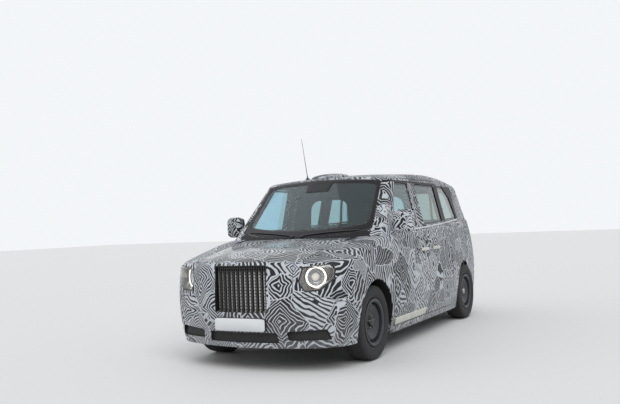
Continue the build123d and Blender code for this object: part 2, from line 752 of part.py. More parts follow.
def make_glass():
    """Screen and rear quarter panes, and the tail lamps."""
    screen = whole(glass_band(SCREEN_INSET) & SCREEN_CUT)
    save("fixed_glass", screen, *both(glass_band(SIDE_GLASS_INSET) & WINDOW_CUTS["quarter"]))
    save("tail_lamps", *both(TAIL_LAMP_BODY))


def liner(x, inner_y, void):
    """A wheel well: a ring of sheet over the wheel and a flat inner wall."""
    ring = tube_y(x, (inner_y + 1000) / 2, TYRE_R, WELL_R + LINER, 1000 - inner_y)
    ring -= tube_y(x, (inner_y + LINER + 1100) / 2, TYRE_R, WELL_R, 1100 - inner_y - LINER)
    ring &= block(x - 500, x + 500, 0, 1100, FLOOR_Z, 900)
    return ring & void


def make_floor():
    """Flat cabin floor, raised boot floor with the rear wheel wells, and the front wells."""
    low = lower_body(WALL) & HALF
    edge = REAR_AXLE_X + WELL_R + 60
    boot_z = TAILGATE_Z[0]
    top = FLOOR_Z + FLOOR_THICK
    doorway = block(DOOR_REAR_X - GAP, DOOR_FRONT_X + GAP, SILL_Y, 1100, FLOOR_Z - 5, DOOR_TOP_Z)
    floor = (low & block(edge, BULKHEAD_X, 0, 1100, FLOOR_Z, top)) - seam_post() - doorway
    save("floor_pan", whole(floor))
    boot = low & block(-2300, edge, 0, 1100, boot_z - 40, boot_z)
    boot += low & block(edge - 40, edge, 0, 1100, FLOOR_Z, boot_z)
    boot -= tube_y(REAR_AXLE_X, (REAR_WELL_Y + 1000) / 2, TYRE_R, WELL_R, 1000 - REAR_WELL_Y)
    boot += liner(REAR_AXLE_X, REAR_WELL_Y, low & block(-2300, edge, 0, 1100, 0, 1500))
    boot -= tube_y(REAR_AXLE_X, 0, TYRE_R, 48, 1700)
    save("boot_floor", whole(boot))
    well = liner(FRONT_AXLE_X, FRONT_WELL_Y, SKIN_VOID & block(900, 3000, 0, 1100, 0, 1500))
    well -= block(FRONT_AXLE_X - 170, FRONT_AXLE_X + 170, 0, FRONT_WELL_Y + 2 * LINER, 0, KINGPIN_Z[1] + 40)
    save("front_liners", *both(well))


def make_tail():
    """Rear bumper below the tailgate."""
    bumper = WALLS & block(-2600, -1880, 0, 1100, 0, TAILGATE_Z[0] - GAP)
    save("rear_bumper", whole(bumper - arch_cylinder(REAR_AXLE_X, ARCH_R, 600, 1100)))


def make_roof_fittings():
    """The lens-shaped roof sign and the leaning aerial."""
    half_x, half_y, half_z = SIGN_SIZE
    sign = Pos(SIGN_X, 0, ROOF_SIGN_Z - 4) * scale(Sphere(1), by=(half_x, half_y, half_z))
    save("roof_sign", sign - greenhouse(0))
    x, y = AERIAL_FOOT
    z = first_hit(OUTER, (x, y, 2500), (x, y, 500))[2]
    lean = Pos(x, y, z + 4) * Rot(AERIAL_LEAN, 0, 0)
    foot = Pos(x, y, z + 6) * Cylinder(24, 16) - greenhouse(0)
    whip = lean * (Pos(0, 0, AERIAL_LENGTH / 2) * Cone(4, 1.8, AERIAL_LENGTH))
    base = lean * (Pos(0, 0, 22) * Cone(11, 5, 40))
    save("aerial", foot + whip + base)


def make_wheels():
    """Tyres, rims and the hubs that carry them."""
    half = TYRE_WIDTH / 2
    bead = RIM_WIDTH / 2 - PIN_CLEARANCE
    seat_r = BEAD_R + 2 + PIN_CLEARANCE
    shoulder = (TYRE_R - 9, half - 20)
    tyre_face = make_face(
        Wire(
            [
                Line((seat_r, -bead), (seat_r, bead)),
                Line((seat_r, bead), (seat_r + 15, bead)),
                Spline((seat_r + 15, bead), (TYRE_R - 52, half), shoulder),
                ThreePointArc(shoulder, (TYRE_R, 0), (shoulder[0], -shoulder[1])),
                Spline((shoulder[0], -shoulder[1]), (TYRE_R - 52, -half), (seat_r + 15, -bead)),
                Line((seat_r + 15, -bead), (seat_r, -bead)),
            ]
        )
    )
    tyre = revolve(tyre_face, Axis.Y, 360)
    disc_y = WHEEL_FACE_Y - HUB_Y
    rim_points = [
        (HUB_R + PIN_CLEARANCE, disc_y), (90, disc_y), (150, disc_y + 26), (BEAD_R - 12, disc_y + 8),
        (BEAD_R - 12, RIM_WIDTH / 2), (BEAD_R + 14, RIM_WIDTH / 2 + 4), (BEAD_R + 14, RIM_WIDTH / 2 + 8),
        (BEAD_R - 4, RIM_WIDTH / 2 + 10), (BEAD_R - 18, RIM_WIDTH / 2), (BEAD_R - 18, disc_y + 18),
        (150, disc_y + 36), (86, disc_y + 8), (HUB_R + PIN_CLEARANCE, disc_y + 8),
    ]
    barrel_points = [
        (BEAD_R - 12, -RIM_WIDTH / 2 - 4), (BEAD_R + 14, -RIM_WIDTH / 2 - 4), (BEAD_R + 14, -RIM_WIDTH / 2),
        (BEAD_R + 2, -RIM_WIDTH / 2), (BEAD_R + 2, RIM_WIDTH / 2), (BEAD_R - 18, RIM_WIDTH / 2),
        (BEAD_R - 18, disc_y + 12), (BEAD_R - 8, disc_y), (BEAD_R - 8, -RIM_WIDTH / 2),
    ]
    disc = revolve(make_face(Polyline(*rim_points, close=True)), Axis.Y, 360)
    barrel = revolve(make_face(Polyline(*barrel_points, close=True)), Axis.Y, 360)
    rim = disc + barrel
    vents = 12
    for i in range(vents):
        hole = Rot(0, 360 * (i + 0.5) / vents, 0) * (Pos(168, disc_y + 20, 0) * Rot(90, 0, 0) * Cylinder(13, 80))
        rim -= hole
    for name, x in (("front", FRONT_AXLE_X), ("rear", REAR_AXLE_X)):
        placed_tyre = Pos(x, HUB_Y, TYRE_R) * tyre
        placed_rim = Pos(x, HUB_Y, TYRE_R) * rim
        for side, shape in (("left", None), ("right", Plane.XZ)):
            pair = [placed_tyre, placed_rim]
            if shape:
                pair = [p.mirror(shape) for p in pair]
            save("tyre_" + name + "_" + side, pair[0])
            save("rim_" + name + "_" + side, pair[1])


def hub(x, inner_y):
    """A hub: brake disc, flange and spindle along Y."""
    z = TYRE_R
    parts = tube_y(x, (inner_y + WHEEL_FACE_Y + 14) / 2, z, HUB_R, WHEEL_FACE_Y + 14 - inner_y)
    parts += tube_y(x, WHEEL_FACE_Y - 6.3, z, 78, 12)
    parts += tube_y(x, WHEEL_FACE_Y - 44, z, 150, 24)
    return parts


def make_axles():
    """Steered front uprights, arms and struts, and the rear drive axle."""
    x, y = FRONT_AXLE_X, KINGPIN_Y
    z0, z1 = KINGPIN_Z
    upright = block(x - 20, x + 20, y - 22, y + 18, z0 + 14, z1 - 14) + hub(x, y - 10)
    for z in (z0, z1):
        upright += Pos(x, y, z) * Cylinder(KINGPIN_R, 34)
    save("knuckle_left", upright)
    save("knuckle_right", upright.mirror(Plane.XZ))
    arms = []
    for z, length in ((z0, 240), (z1, 150)):
        eye = Pos(x, y, z - math.copysign(4, z1 + z0 - 2 * z)) * Cylinder(22, 16)
        arm = make_face(Polyline((x - 22, y - 8), (x + 22, y - 8), (x + 110, y - 330), (x + 70, y - 340), (x, y - 60), (x - 70, y - 340), (x - 110, y - 330), close=True))
        arm = Pos(0, 0, z - 8 - math.copysign(4, z1 + z0 - 2 * z)) * extrude(arm, 16)
        arms.append(eye + arm - Pos(x, y, z) * Cylinder(KINGPIN_R + PIN_CLEARANCE, 60))
    strut = Pos(x, 560, 240) * Rot(6, 0, 0) * (Pos(0, 0, 255) * Cylinder(24, 510))
    spring = Pos(x, 560, 240) * Rot(6, 0, 0) * (Pos(0, 0, 380) * Cylinder(52, 240))
    frame = block(x - 150, x + 150, -432, 432, *SUBFRAME_Z)
    strut += block(x - 80, x + 80, 542, 578, z0 - 8, z0 + 16)
    left = arms[0] + arms[1] + strut + spring + block(x - 120, x + 120, 402, 432, SUBFRAME_Z[0], 520)
    whole = frame
    for piece in both(left):
        whole += piece
    save("front_suspension", whole)
    axle = tube_y(REAR_AXLE_X, 0, TYRE_R, 42, 1520)
    axle += tube_y(REAR_AXLE_X, 0, TYRE_R, 130, 360)
    spring = Pos(REAR_AXLE_X, 520, 0) * block(-45, 45, -45, 45, TYRE_R, TAILGATE_Z[0] - 40)
    for piece in both(hub(REAR_AXLE_X, 740) + fillet(spring.edges().filter_by(Axis.Z), 40)):
        axle += piece
    save("rear_axle", axle)


def make_under():
    """Battery, engine block and exhaust under the floor."""
    save("battery_pack", block(-850, 950, -560, 560, 200, FLOOR_Z - 0.3))
    engine = block(1180, 2020, -330, 330, SUBFRAME_Z[1], 860)
    save("engine_block", engine)
    save("undertray", block(BULKHEAD_X + BULKHEAD_THICK + PIN_CLEARANCE, 2240, -380, 380, SUBFRAME_Z[0] - 6, SUBFRAME_Z[0]))


def make_cabin():
    """Dashboard, seats, partition and rails."""
    dash = end_prism([(-760, 720), (760, 720), (760, 1010), (-760, 1010)], 60, 800, BULKHEAD_X)
    x, y, z = STEER_WHEEL_AT
    place = Pos(x, y, z) * Rot(0, -90 + STEER_TILT, 0)
    low = (Align.CENTER, Align.CENTER, Align.MAX)
    dash += place * (Pos(0, 0, -15 - PIN_CLEARANCE) * Cylinder(32, 200, align=low))
    save("dashboard", dash)
    wheel = place * Torus(STEER_WHEEL_R, 15)
    wheel += place * Cylinder(55, 30)
    for turn in (0, 120, 240):
        wheel += place * (Rot(0, 0, turn + 60) * (Pos(STEER_WHEEL_R / 2 + 10, 0, 0) * Box(STEER_WHEEL_R - 30, 30, 12)))
    save("steering_wheel", wheel)
    seat_floor = FLOOR_Z + FLOOR_THICK
    cushion = block(60, 560, SEAT_Y - 240, SEAT_Y + 240, 560, 690)
    back = side_prism([(40, 640), (170, 640), (30, 1240), (-70, 1240)], 30, SEAT_Y - 230, SEAT_Y + 230)
    head = block(-60, 10, SEAT_Y - 120, SEAT_Y + 120, 1260, 1420)
    head = fillet(head.edges(), 25)
    base = block(120, 500, SEAT_Y - 180, SEAT_Y + 180, seat_floor, 560)
    posts = [Pos(-25, SEAT_Y + dy, 1250) * Cylinder(7, 60) for dy in (-50, 50)]
    save("driver_seat", fillet(cushion.edges(), 30) + back + head + base + posts[0] + posts[1])
    wall = CABIN_HALF & block(PARTITION_X - 30, PARTITION_X, 0, 1000, seat_floor, 1900)
    wall -= end_prism([(60, 900), (640, 900), (600, 1560), (100, 1560)], 120, PARTITION_X - 100, PARTITION_X + 100)
    wall = whole(wall)
    ax, az = JUMP_AXIS
    half = JUMP_SEAT_WIDTH / 2
    for y in JUMP_SEAT_Y:
        for side in (-1, 1):
            ear = y + side * (half + 12)
            wall += block(ax - 16, PARTITION_X - 25, ear - 6, ear + 6, az - 16, az + 16)
            wall -= tube_y(ax, ear, az, JUMP_PIN_R + PIN_CLEARANCE, 20)
    save("partition", wall)
    bench = block(BENCH_X, BENCH_X + 520, -600, 600, TAILGATE_Z[0], 760)
    bench = fillet(bench.edges(), 35)
    rest = side_prism([(BENCH_X - 10, 720), (BENCH_X + 110, 720), (BENCH_X - 40, 1300), (BENCH_X - 140, 1300)], 30, -600, 600)
    save("rear_bench", bench + rest)
    for name, y in zip(("right", "centre", "left"), JUMP_SEAT_Y):
        seat = block(ax - 40, ax + 20, y - half, y + half, az, az + 380)
        pin = tube_y(ax, y, az, JUMP_PIN_R, JUMP_SEAT_WIDTH + 36)
        save("jump_seat_" + name, fillet(seat.edges(), 20) + pin)


def make_mirrors():
    """Door mirrors: a rounded head on a short arm."""
    head = Pos(*MIRROR_AT) * Rot(0, 0, MIRROR_YAW) * fillet(Box(*MIRROR_SIZE).edges(), 54)
    arm = block(928, 988, 820, 960, 1146, 1184)
    mirror = head + (fillet(arm.edges().filter_by(Axis.Y), 14) - OUTER_HALF)
    save("mirror_left", mirror)
    save("mirror_right", mirror.mirror(Plane.XZ))


def make_wipers():
    """Two wipers at rest along the foot of the screen, each from its pivot."""
    band = greenhouse(-WIPER_DEPTH) - greenhouse(SCREEN_INSET - PIN_CLEARANCE)
    arms = []
    for (y0, v0), (y1, v1) in WIPERS:
        length = math.hypot(y1 - y0, v1 - v0)
        turn = math.degrees(math.atan2(v1 - v0, y1 - y0))
        strip = Pos(y0, v0) * Rot(0, 0, turn) * Pos(length / 2, 0) * Rectangle(length + WIPER_WIDTH, WIPER_WIDTH)
        boss = Pos(y0, v0) * Circle(WIPER_WIDTH)
        arms.append(band & extrude(SCREEN_PLANE * (strip + boss), 200, dir=(SCREEN_RAKE, 0, 1), both=True))
    save("wipers", *arms)


make_doors()
make_tailgate()
make_shell()
make_nose()
make_grille()
make_glass()
make_floor()
make_tail()
make_roof_fittings()
make_wheels()
make_axles()
make_under()
make_cabin()
make_mirrors()
make_wipers()
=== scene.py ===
# %% [markdown]
# # A purpose-built taxi cab in a black and white test film
#
# The cab's shell, doors, glass, wheels and running gear come ready made from a CAD model. This
# notebook dresses them: it gives every part a real finish, and it adds the things that are too
# fine for CAD, such as the tread of the tyres, the black rim of the windscreen, the trim along
# the windows, the blank number plates and the padded seats.
#
# Lengths are in metres. +X is forwards, +Y is the cab's left and +Z is up.

import math

import bmesh
import bpy
import numpy as np
from mathutils import Matrix, Vector


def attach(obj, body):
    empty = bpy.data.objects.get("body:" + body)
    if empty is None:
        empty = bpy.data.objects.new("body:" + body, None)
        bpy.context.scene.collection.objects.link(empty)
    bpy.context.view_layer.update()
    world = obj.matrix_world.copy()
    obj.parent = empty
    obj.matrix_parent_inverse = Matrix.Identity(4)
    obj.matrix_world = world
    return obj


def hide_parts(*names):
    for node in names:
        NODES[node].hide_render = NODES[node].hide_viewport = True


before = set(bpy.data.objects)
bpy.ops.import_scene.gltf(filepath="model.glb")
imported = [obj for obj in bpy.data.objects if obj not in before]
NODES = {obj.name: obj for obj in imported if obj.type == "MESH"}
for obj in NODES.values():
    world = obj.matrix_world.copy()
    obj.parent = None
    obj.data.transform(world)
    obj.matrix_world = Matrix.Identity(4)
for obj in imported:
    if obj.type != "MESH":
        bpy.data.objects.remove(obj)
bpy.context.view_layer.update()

# %% [markdown]
# ## The camera
#
# The photograph was matched beforehand: its straight edges and the cab's known length, width and
# wheelbase give one camera that fits them all. It stands a little over seven metres ahead of the
# cab and to its left, a little over a metre above the floor, with a slight roll.

# %% The matched camera
CAMERA_AT = np.array([7.704, 3.575, 1.250])
CAMERA_AZIMUTH, CAMERA_ELEVATION, CAMERA_ROLL = np.radians([208.193, 1.978, -2.272])
LENS_MM, SENSOR_MM = 41.87, 36.0


def camera_axes(azimuth, elevation, roll):
    """The look direction from its two angles, then right and up turned about it by the roll."""
    look = np.array([
        math.cos(elevation) * math.cos(azimuth),
        math.cos(elevation) * math.sin(azimuth),
        math.sin(elevation),
    ])
    level = np.cross(look, [0, 0, 1])
    level /= np.linalg.norm(level)
    plumb = np.cross(level, look)
    right = math.cos(roll) * level + math.sin(roll) * plumb
    up = -math.sin(roll) * level + math.cos(roll) * plumb
    return right, up, look


right, up, look = camera_axes(CAMERA_AZIMUTH, CAMERA_ELEVATION, CAMERA_ROLL)
camera_data = bpy.data.cameras.new("camera")
camera_data.lens = LENS_MM
camera_data.sensor_width = SENSOR_MM
camera_data.sensor_fit = "HORIZONTAL"
camera_data.clip_end = 200
camera = bpy.data.objects.new("camera", camera_data)
bpy.context.scene.collection.objects.link(camera)
placing = np.eye(4)
placing[:3, 0], placing[:3, 1], placing[:3, 2], placing[:3, 3] = right, up, -look, CAMERA_AT
camera.matrix_world = Matrix(placing.tolist())
bpy.context.scene.camera = camera
print("camera at", CAMERA_AT.tolist(), "lens", LENS_MM)

# %% [markdown]
# ## Meshes from grids of points
#
# Nearly every added piece is a surface over two parameters: a grid of points, whose rows and
# columns may close on themselves. One helper turns such a grid into a mesh, and the ends of a
# tube get a cap each, so that no hole is left.


# %% Helpers that make meshes
def add_piece(name, points, faces, body, material, smooth=True):
    """A mesh object from points and faces, that rides on a CAD body. Its place is in its mesh."""
    mesh = bpy.data.meshes.new(name)
    mesh.from_pydata(np.asarray(points).reshape(-1, 3).tolist(), [], faces)
    mesh.validate()
    mesh.polygons.foreach_set("use_smooth", [smooth] * len(mesh.polygons))
    mesh.materials.append(material)
    piece = bpy.data.objects.new(name, mesh)
    bpy.context.scene.collection.objects.link(piece)
    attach(piece, body)
    return piece


def grid_faces(rows, columns, close_rows, close_columns, start=0):
    """Quads between neighbouring rows and columns, which go round again where they close."""
    index = np.arange(rows * columns).reshape(rows, columns) + start
    if close_rows:
        index = np.vstack([index, index[:1]])
    if close_columns:
        index = np.hstack([index, index[:, :1]])
    quads = np.stack([index[:-1, :-1], index[1:, :-1], index[1:, 1:], index[:-1, 1:]], axis=-1)
    return quads.reshape(-1, 4).tolist()


def face_outwards(piece):
    """Joins doubled points and turns every face of a closed piece outwards."""
    work = bmesh.new()
    work.from_mesh(piece.data)
    bmesh.ops.remove_doubles(work, verts=work.verts, dist=1e-6)
    bmesh.ops.recalc_face_normals(work, faces=work.faces)
    work.to_mesh(piece.data)
    work.free()
    return piece


def add_ring(name, grid, body, material):
    """A surface that closes on itself both ways, like a tyre, from a rows by columns by 3 array."""
    rows, columns = grid.shape[:2]
    faces = grid_faces(rows, columns, True, True)
    return face_outwards(add_piece(name, grid, faces, body, material))


def add_sheet(name, grid, body, material, thickness, close_columns=False):
    """An open sheet or band, which gets its thickness on the side away from where it faces."""
    rows, columns = grid.shape[:2]
    faces = grid_faces(rows, columns, False, close_columns)
    piece = add_piece(name, grid, faces, body, material)
    piece.modifiers.new("thickness", "SOLIDIFY").thickness = thickness
    return piece


def add_solids(name, grids, body, material, smooth=True):
    """Tubes or lathe shapes in one piece: each is closed round its columns and capped at both ends."""
    points, faces, start = [], [], 0
    for grid in grids:
        rows, columns = grid.shape[:2]
        faces += grid_faces(rows, columns, False, True, start)
        faces.append(list(range(start, start + columns)))
        faces.append(list(range(start + (rows - 1) * columns, start + rows * columns)))
        points.append(grid.reshape(-1, 3))
        start += rows * columns
    return face_outwards(add_piece(name, np.vstack(points), faces, body, material, smooth))


def add_solid(name, grid, body, material):
    """One capped tube or lathe shape."""
    return add_solids(name, [grid], body, material)

# %% [markdown]
# ## Shapes from a few curves
#
# Trim bars, rails, caps and mirrors need only three kinds of surface: a flat section carried along
# a path, a profile turned round an axis, and a line laid on the panel behind it. Working them out
# as whole arrays keeps them exact and quick, and a trim bar then fits the CAD panel closely.


# %% Helpers that make shapes
def unit(v):
    """Rows of vectors, each divided by its length."""
    v = np.asarray(v, float)
    return v / np.maximum(np.linalg.norm(v, axis=-1, keepdims=True), 1e-12)


def rounded(count, width, height, power=4.0):
    """A superellipse: |a / half width|^power + |b / half height|^power = 1, walked by angle."""
    t = np.linspace(0, 2 * np.pi, count, endpoint=False)
    c, s = np.cos(t), np.sin(t)
    radius = (np.abs(c) ** power + np.abs(s) ** power) ** (-1 / power)
    return np.stack([radius * c * width / 2, radius * s * height / 2], axis=-1)


def sweep(path, section, side=(0, 0, 1), scale=None):
    """Carries a flat section along a path: at each point its first axis lies along side and its
    second one across side and path. The section may swell or shrink on the way."""
    path = np.asarray(path, float)
    tangent = unit(np.gradient(path, axis=0))
    first = np.broadcast_to(np.asarray(side, float), path.shape)
    first = unit(first - tangent * np.sum(first * tangent, axis=-1, keepdims=True))
    second = np.cross(tangent, first)
    size = np.ones(len(path)) if scale is None else np.asarray(scale)
    return path[:, None] + size[:, None, None] * (
        first[:, None] * section[None, :, :1] + second[:, None] * section[None, :, 1:]
    )


def smooth_path(points, count):
    """A Catmull-Rom curve through the points: each run is a cubic set by its four nearest points."""
    p = np.asarray(points, float)
    p = np.vstack([2 * p[0] - p[1], p, 2 * p[-1] - p[-2]])
    runs = len(p) - 3
    at = np.linspace(0, runs, count)
    k = np.minimum(at.astype(int), runs - 1)
    t = (at - k)[:, None]
    a, b, c, d = p[k], p[k + 1], p[k + 2], p[k + 3]
    bend, twist = 2 * a - 5 * b + 4 * c - d, 3 * b - 3 * c + d - a
    return 0.5 * (2 * b + (c - a) * t + bend * t**2 + twist * t**3)


def turned(profile, centre, axis, count=64):
    """A lathe: each (radius, height) of the profile is carried round an axis through the centre."""
    axis = unit(axis)
    first = unit(np.cross(axis, [0, 0, 1] if abs(axis[2]) < 0.9 else [1, 0, 0]))
    second = np.cross(axis, first)
    t = np.linspace(0, 2 * np.pi, count, endpoint=False)
    ring = np.cos(t)[:, None] * first + np.sin(t)[:, None] * second
    profile = np.asarray(profile, float)
    return np.asarray(centre) + profile[:, None, :1] * ring[None] + profile[:, None, 1:] * axis


def reach(node, axis, first, second, side):
    """Where lines along one axis meet a CAD node, furthest out. Each point is tested against all
    triangles at once: its weights in a triangle are all positive where the line goes through it."""
    mesh = NODES[node].data
    mesh.calc_loop_triangles()
    corners = np.empty(len(mesh.vertices) * 3)
    mesh.vertices.foreach_get("co", corners)
    index = np.empty(len(mesh.loop_triangles) * 3, int)
    mesh.loop_triangles.foreach_get("vertices", index)
    triangles = corners.reshape(-1, 3)[index.reshape(-1, 3)]
    flat = [k for k in range(3) if k != axis]
    a = triangles[:, 0][:, flat]
    u, v = triangles[:, 1][:, flat] - a, triangles[:, 2][:, flat] - a
    area = u[:, 0] * v[:, 1] - u[:, 1] * v[:, 0]
    kept = np.abs(area) > 1e-10
    a, u, v, area, depth = a[kept], u[kept], v[kept], area[kept], triangles[kept][:, :, axis]
    points = np.stack([np.ravel(first), np.ravel(second)], axis=-1)
    found = []
    for part in np.array_split(points, max(1, len(points) // 200)):
        d = part[:, None] - a[None]
        p = (d[..., 0] * v[:, 1] - d[..., 1] * v[:, 0]) / area
        q = (u[:, 0] * d[..., 1] - u[:, 1] * d[..., 0]) / area
        inside = (p > -1e-5) & (q > -1e-5) & (p + q < 1 + 1e-5)
        level = depth[:, 0] + p * (depth[:, 1] - depth[:, 0]) + q * (depth[:, 2] - depth[:, 0])
        found.append(np.where(inside, side * level, -np.inf).max(axis=1))
    best = np.concatenate(found)
    missed = ~np.isfinite(best)
    if missed.all():
        raise ValueError(f"no line meets {node}")
    if missed.any():
        good = np.flatnonzero(~missed)
        gap = np.linalg.norm(points[missed][:, None] - points[good][None], axis=-1)
        best[missed] = best[good][gap.argmin(axis=1)]
    return (side * best).reshape(np.shape(first))


# %% [markdown]
# ## Finishes
#
# Each finish is a small network of shader nodes. Patterns read the object's own coordinates, in
# metres, so they have their real size and stay put on a door that swings open.


# %% Helpers that wire a material
class Finish:
    """A material with short words for the few nodes that these finishes need."""

    def __init__(self, name, colour, roughness, metallic=0.0, **sockets):
        self.material = bpy.data.materials.new(name)
        self.material.use_nodes = True
        self.tree = self.material.node_tree
        self.shader = self.tree.nodes["Principled BSDF"]
        self.shader.inputs["Base Color"].default_value = (*colour, 1)
        self.shader.inputs["Roughness"].default_value = roughness
        self.shader.inputs["Metallic"].default_value = metallic
        for socket, value in sockets.items():
            self.shader.inputs[socket.replace("_", " ")].default_value = value
        self.place = self.tree.nodes.new("ShaderNodeTexCoord").outputs["Object"]

    def node(self, kind, inputs=(), **settings):
        """A new node with its settings; each input is a number, a colour or another node's output."""
        made = self.tree.nodes.new("ShaderNode" + kind)
        for key, value in settings.items():
            setattr(made, key, value)
        for key, value in dict(inputs).items():
            if isinstance(value, bpy.types.NodeSocket):
                self.tree.links.new(value, made.inputs[key])
            else:
                made.inputs[key].default_value = value
        return made

    def math(self, operation, a, b=0.0, clamp=False):
        return self.node("Math", {0: a, 1: b}, operation=operation, use_clamp=clamp).outputs[0]

    def times(self, a, b):
        return self.math("MULTIPLY", a, b)

    def rest(self, a):
        """One less the value: what is left of a mask."""
        return self.math("SUBTRACT", 1.0, a)

    def wave(self, value, length):
        """A sine of the given wavelength."""
        return self.math("SINE", self.times(value, 2 * math.pi / length))

    def vector(self, operation, a, b=(0, 0, 0)):
        made = self.node("VectorMath", {0: a, 1: b}, operation=operation)
        return made.outputs["Value"] if operation in ("DOT_PRODUCT", "LENGTH") else made.outputs[0]

    def split(self, value):
        return self.node("SeparateXYZ", {0: value}).outputs

    def above(self, value, edge, soft=0.001):
        """0 below the edge and 1 above it, with a soft step between."""
        ends = {0: value, 1: edge - soft, 2: edge + soft, 3: 0.0, 4: 1.0}
        return self.node("MapRange", ends, interpolation_type="SMOOTHSTEP").outputs[0]

    def between(self, value, low, high, soft=0.001):
        return self.times(self.above(value, low, soft), self.rest(self.above(value, high, soft)))

    def noise(self, scale, detail=3.0, rough=0.55):
        sizes = {"Vector": self.place, "Scale": scale, "Detail": detail, "Roughness": rough}
        return self.node("TexNoise", sizes).outputs["Fac"]

    def mix(self, amount, a, b):
        """Colour a where the amount is 0 and colour b where it is 1."""
        a, b = ((*c, 1) if isinstance(c, tuple) else c for c in (a, b))
        return self.node("Mix", {0: amount, 6: a, 7: b}, data_type="RGBA").outputs[2]

    def colour(self, value):
        self.tree.links.new(value, self.shader.inputs["Base Color"])

    def roughness(self, value, low, high):
        made = self.node("MapRange", {0: value, 3: low, 4: high})
        self.tree.links.new(made.outputs[0], self.shader.inputs["Roughness"])

    def bump(self, height, distance, strength=1.0):
        made = self.node("Bump", {"Height": height, "Distance": distance, "Strength": strength})
        self.tree.links.new(made.outputs[0], self.shader.inputs["Normal"])


# %% [markdown]
# ## The test film
#
# A cab that is still being tested wears a printed film of busy black and white line work, which
# hides its shapes. Here the film is made up afresh: nested squares and lozenges that overlap like
# tiles, with patches of parallel strokes between them. A Voronoi texture measured in city blocks
# instead of straight lines has such angular cells. The distance from each cell's centre goes
# through a sine, which draws the nested outlines, and a little noise makes the lines wobble as
# if cut by hand. The film covers only the outside of a panel: inner faces are known by their
# direction, and get the plain colour of a lining.


# %% The film's line work
def wobbly_place(f, seed):
    """The place plus a small noise, so that straight lines wobble, all moved along by the seed."""
    noise = f.node("TexNoise", {"Vector": f.place, "Scale": 5.0, "Detail": 2.0}).outputs["Color"]
    wobble = f.vector("MULTIPLY", f.vector("SUBTRACT", noise, (0.5,) * 3), (0.11,) * 3)
    return f.vector("ADD", f.vector("ADD", f.place, wobble), (seed, 0.37 * seed, 0.11 * seed))


def line_work(f, cell, line, light, seed):
    """Where the film is pale. In most cells the sine of the distance to the centre draws nested
    outlines, in the others a sine along one direction draws strokes. The cells' hearts stay dark,
    and the borders between the nearest and the next cell are pale."""
    bent = wobbly_place(f, seed)
    cells = {"Vector": bent, "Scale": 1 / cell, "Randomness": 0.95}
    near = f.node("TexVoronoi", cells, distance="MANHATTAN").outputs
    second = f.node("TexVoronoi", cells, distance="MANHATTAN", feature="F2").outputs["Distance"]
    pick = f.split(near["Color"])
    pace = f.times(f.math("ADD", f.times(pick[0], 0.7), 0.7), 2 * math.pi * cell / line)
    nested = f.math("SINE", f.times(near["Distance"], pace))
    aim = f.vector("NORMALIZE", f.vector("SUBTRACT", near["Color"], (0.5,) * 3))
    strokes = f.wave(f.vector("DOT_PRODUCT", bent, aim), 0.8 * line)
    hatched = f.above(pick[1], 0.68)
    lines = f.math("ADD", f.times(nested, f.rest(hatched)), f.times(strokes, hatched))
    thick = f.math("ADD", lines, f.times(f.math("SUBTRACT", pick[2], 0.5), 1.2))
    ink = f.times(f.above(thick, 1 - 2 * light, 0.16), f.above(near["Distance"], 0.13, 0.01))
    border = f.rest(f.above(f.math("SUBTRACT", second, near["Distance"]), 0.035, 0.010))
    return f.math("MAXIMUM", ink, border)


def inner_side(f):
    """1 on faces that look inwards: their normal points against the way out from the cab's middle.
    The middle is a line along the cabin, so the way out is mostly sideways and upwards."""
    x, y, z = f.split(f.place)
    along = f.node("Clamp", {"Value": x, "Min": -1.3, "Max": 0.9}).outputs[0]
    away = {0: f.math("SUBTRACT", x, along), 1: y, 2: f.math("SUBTRACT", z, 0.95)}
    out = f.vector("NORMALIZE", f.node("CombineXYZ", away).outputs[0])
    normal = f.node("TexCoord").outputs["Normal"]
    return f.above(f.times(f.vector("DOT_PRODUCT", out, normal), -1.0), 0.12, 0.02)


# %% The films of the cab
LINING_DARK, ROOF_LINING = (0.045, 0.047, 0.052), (0.24, 0.25, 0.26)


def test_film(name, cell, line, light, seed, gloss, extra=None, lined=True):
    """Printed film. cell and line are the sizes of a motif and of a line with its gap, and light
    is the share of white. Dirt thickens towards the sills by a noise times the height's mask."""
    sheen = {"Coat_Weight": gloss, "Coat_Roughness": 0.10, "Specular_IOR_Level": 0.2}
    f = Finish(name, (0.5, 0.5, 0.5), 0.4, **sheen)
    ink = line_work(f, cell, line, light, seed)
    tone = f.noise(2.3)
    pale = f.mix(tone, (0.40, 0.43, 0.47), (0.68, 0.71, 0.75))
    dark = f.mix(tone, (0.008, 0.009, 0.011), (0.026, 0.027, 0.031))
    height = f.split(f.place)[2]
    low_down = f.rest(f.above(height, 0.42, 0.30))
    dirt = f.math("MULTIPLY", low_down, f.math("ADD", f.noise(26.0, 5.0), -0.18), clamp=True)
    shade = f.mix(dirt, f.mix(ink, dark, pale), (0.33, 0.33, 0.34))
    if extra:
        shade = extra(f, shade)
    if lined:
        lining = f.mix(f.above(height, 1.68, 0.01), LINING_DARK, ROOF_LINING)
        shade = f.mix(inner_side(f), shade, lining)
    f.colour(shade)
    f.roughness(f.noise(14.0, 4.0), 0.32, 0.55)
    f.bump(f.math("ADD", f.times(ink, 0.25), f.noise(3.0)), 0.0012, 0.5)
    return f.material


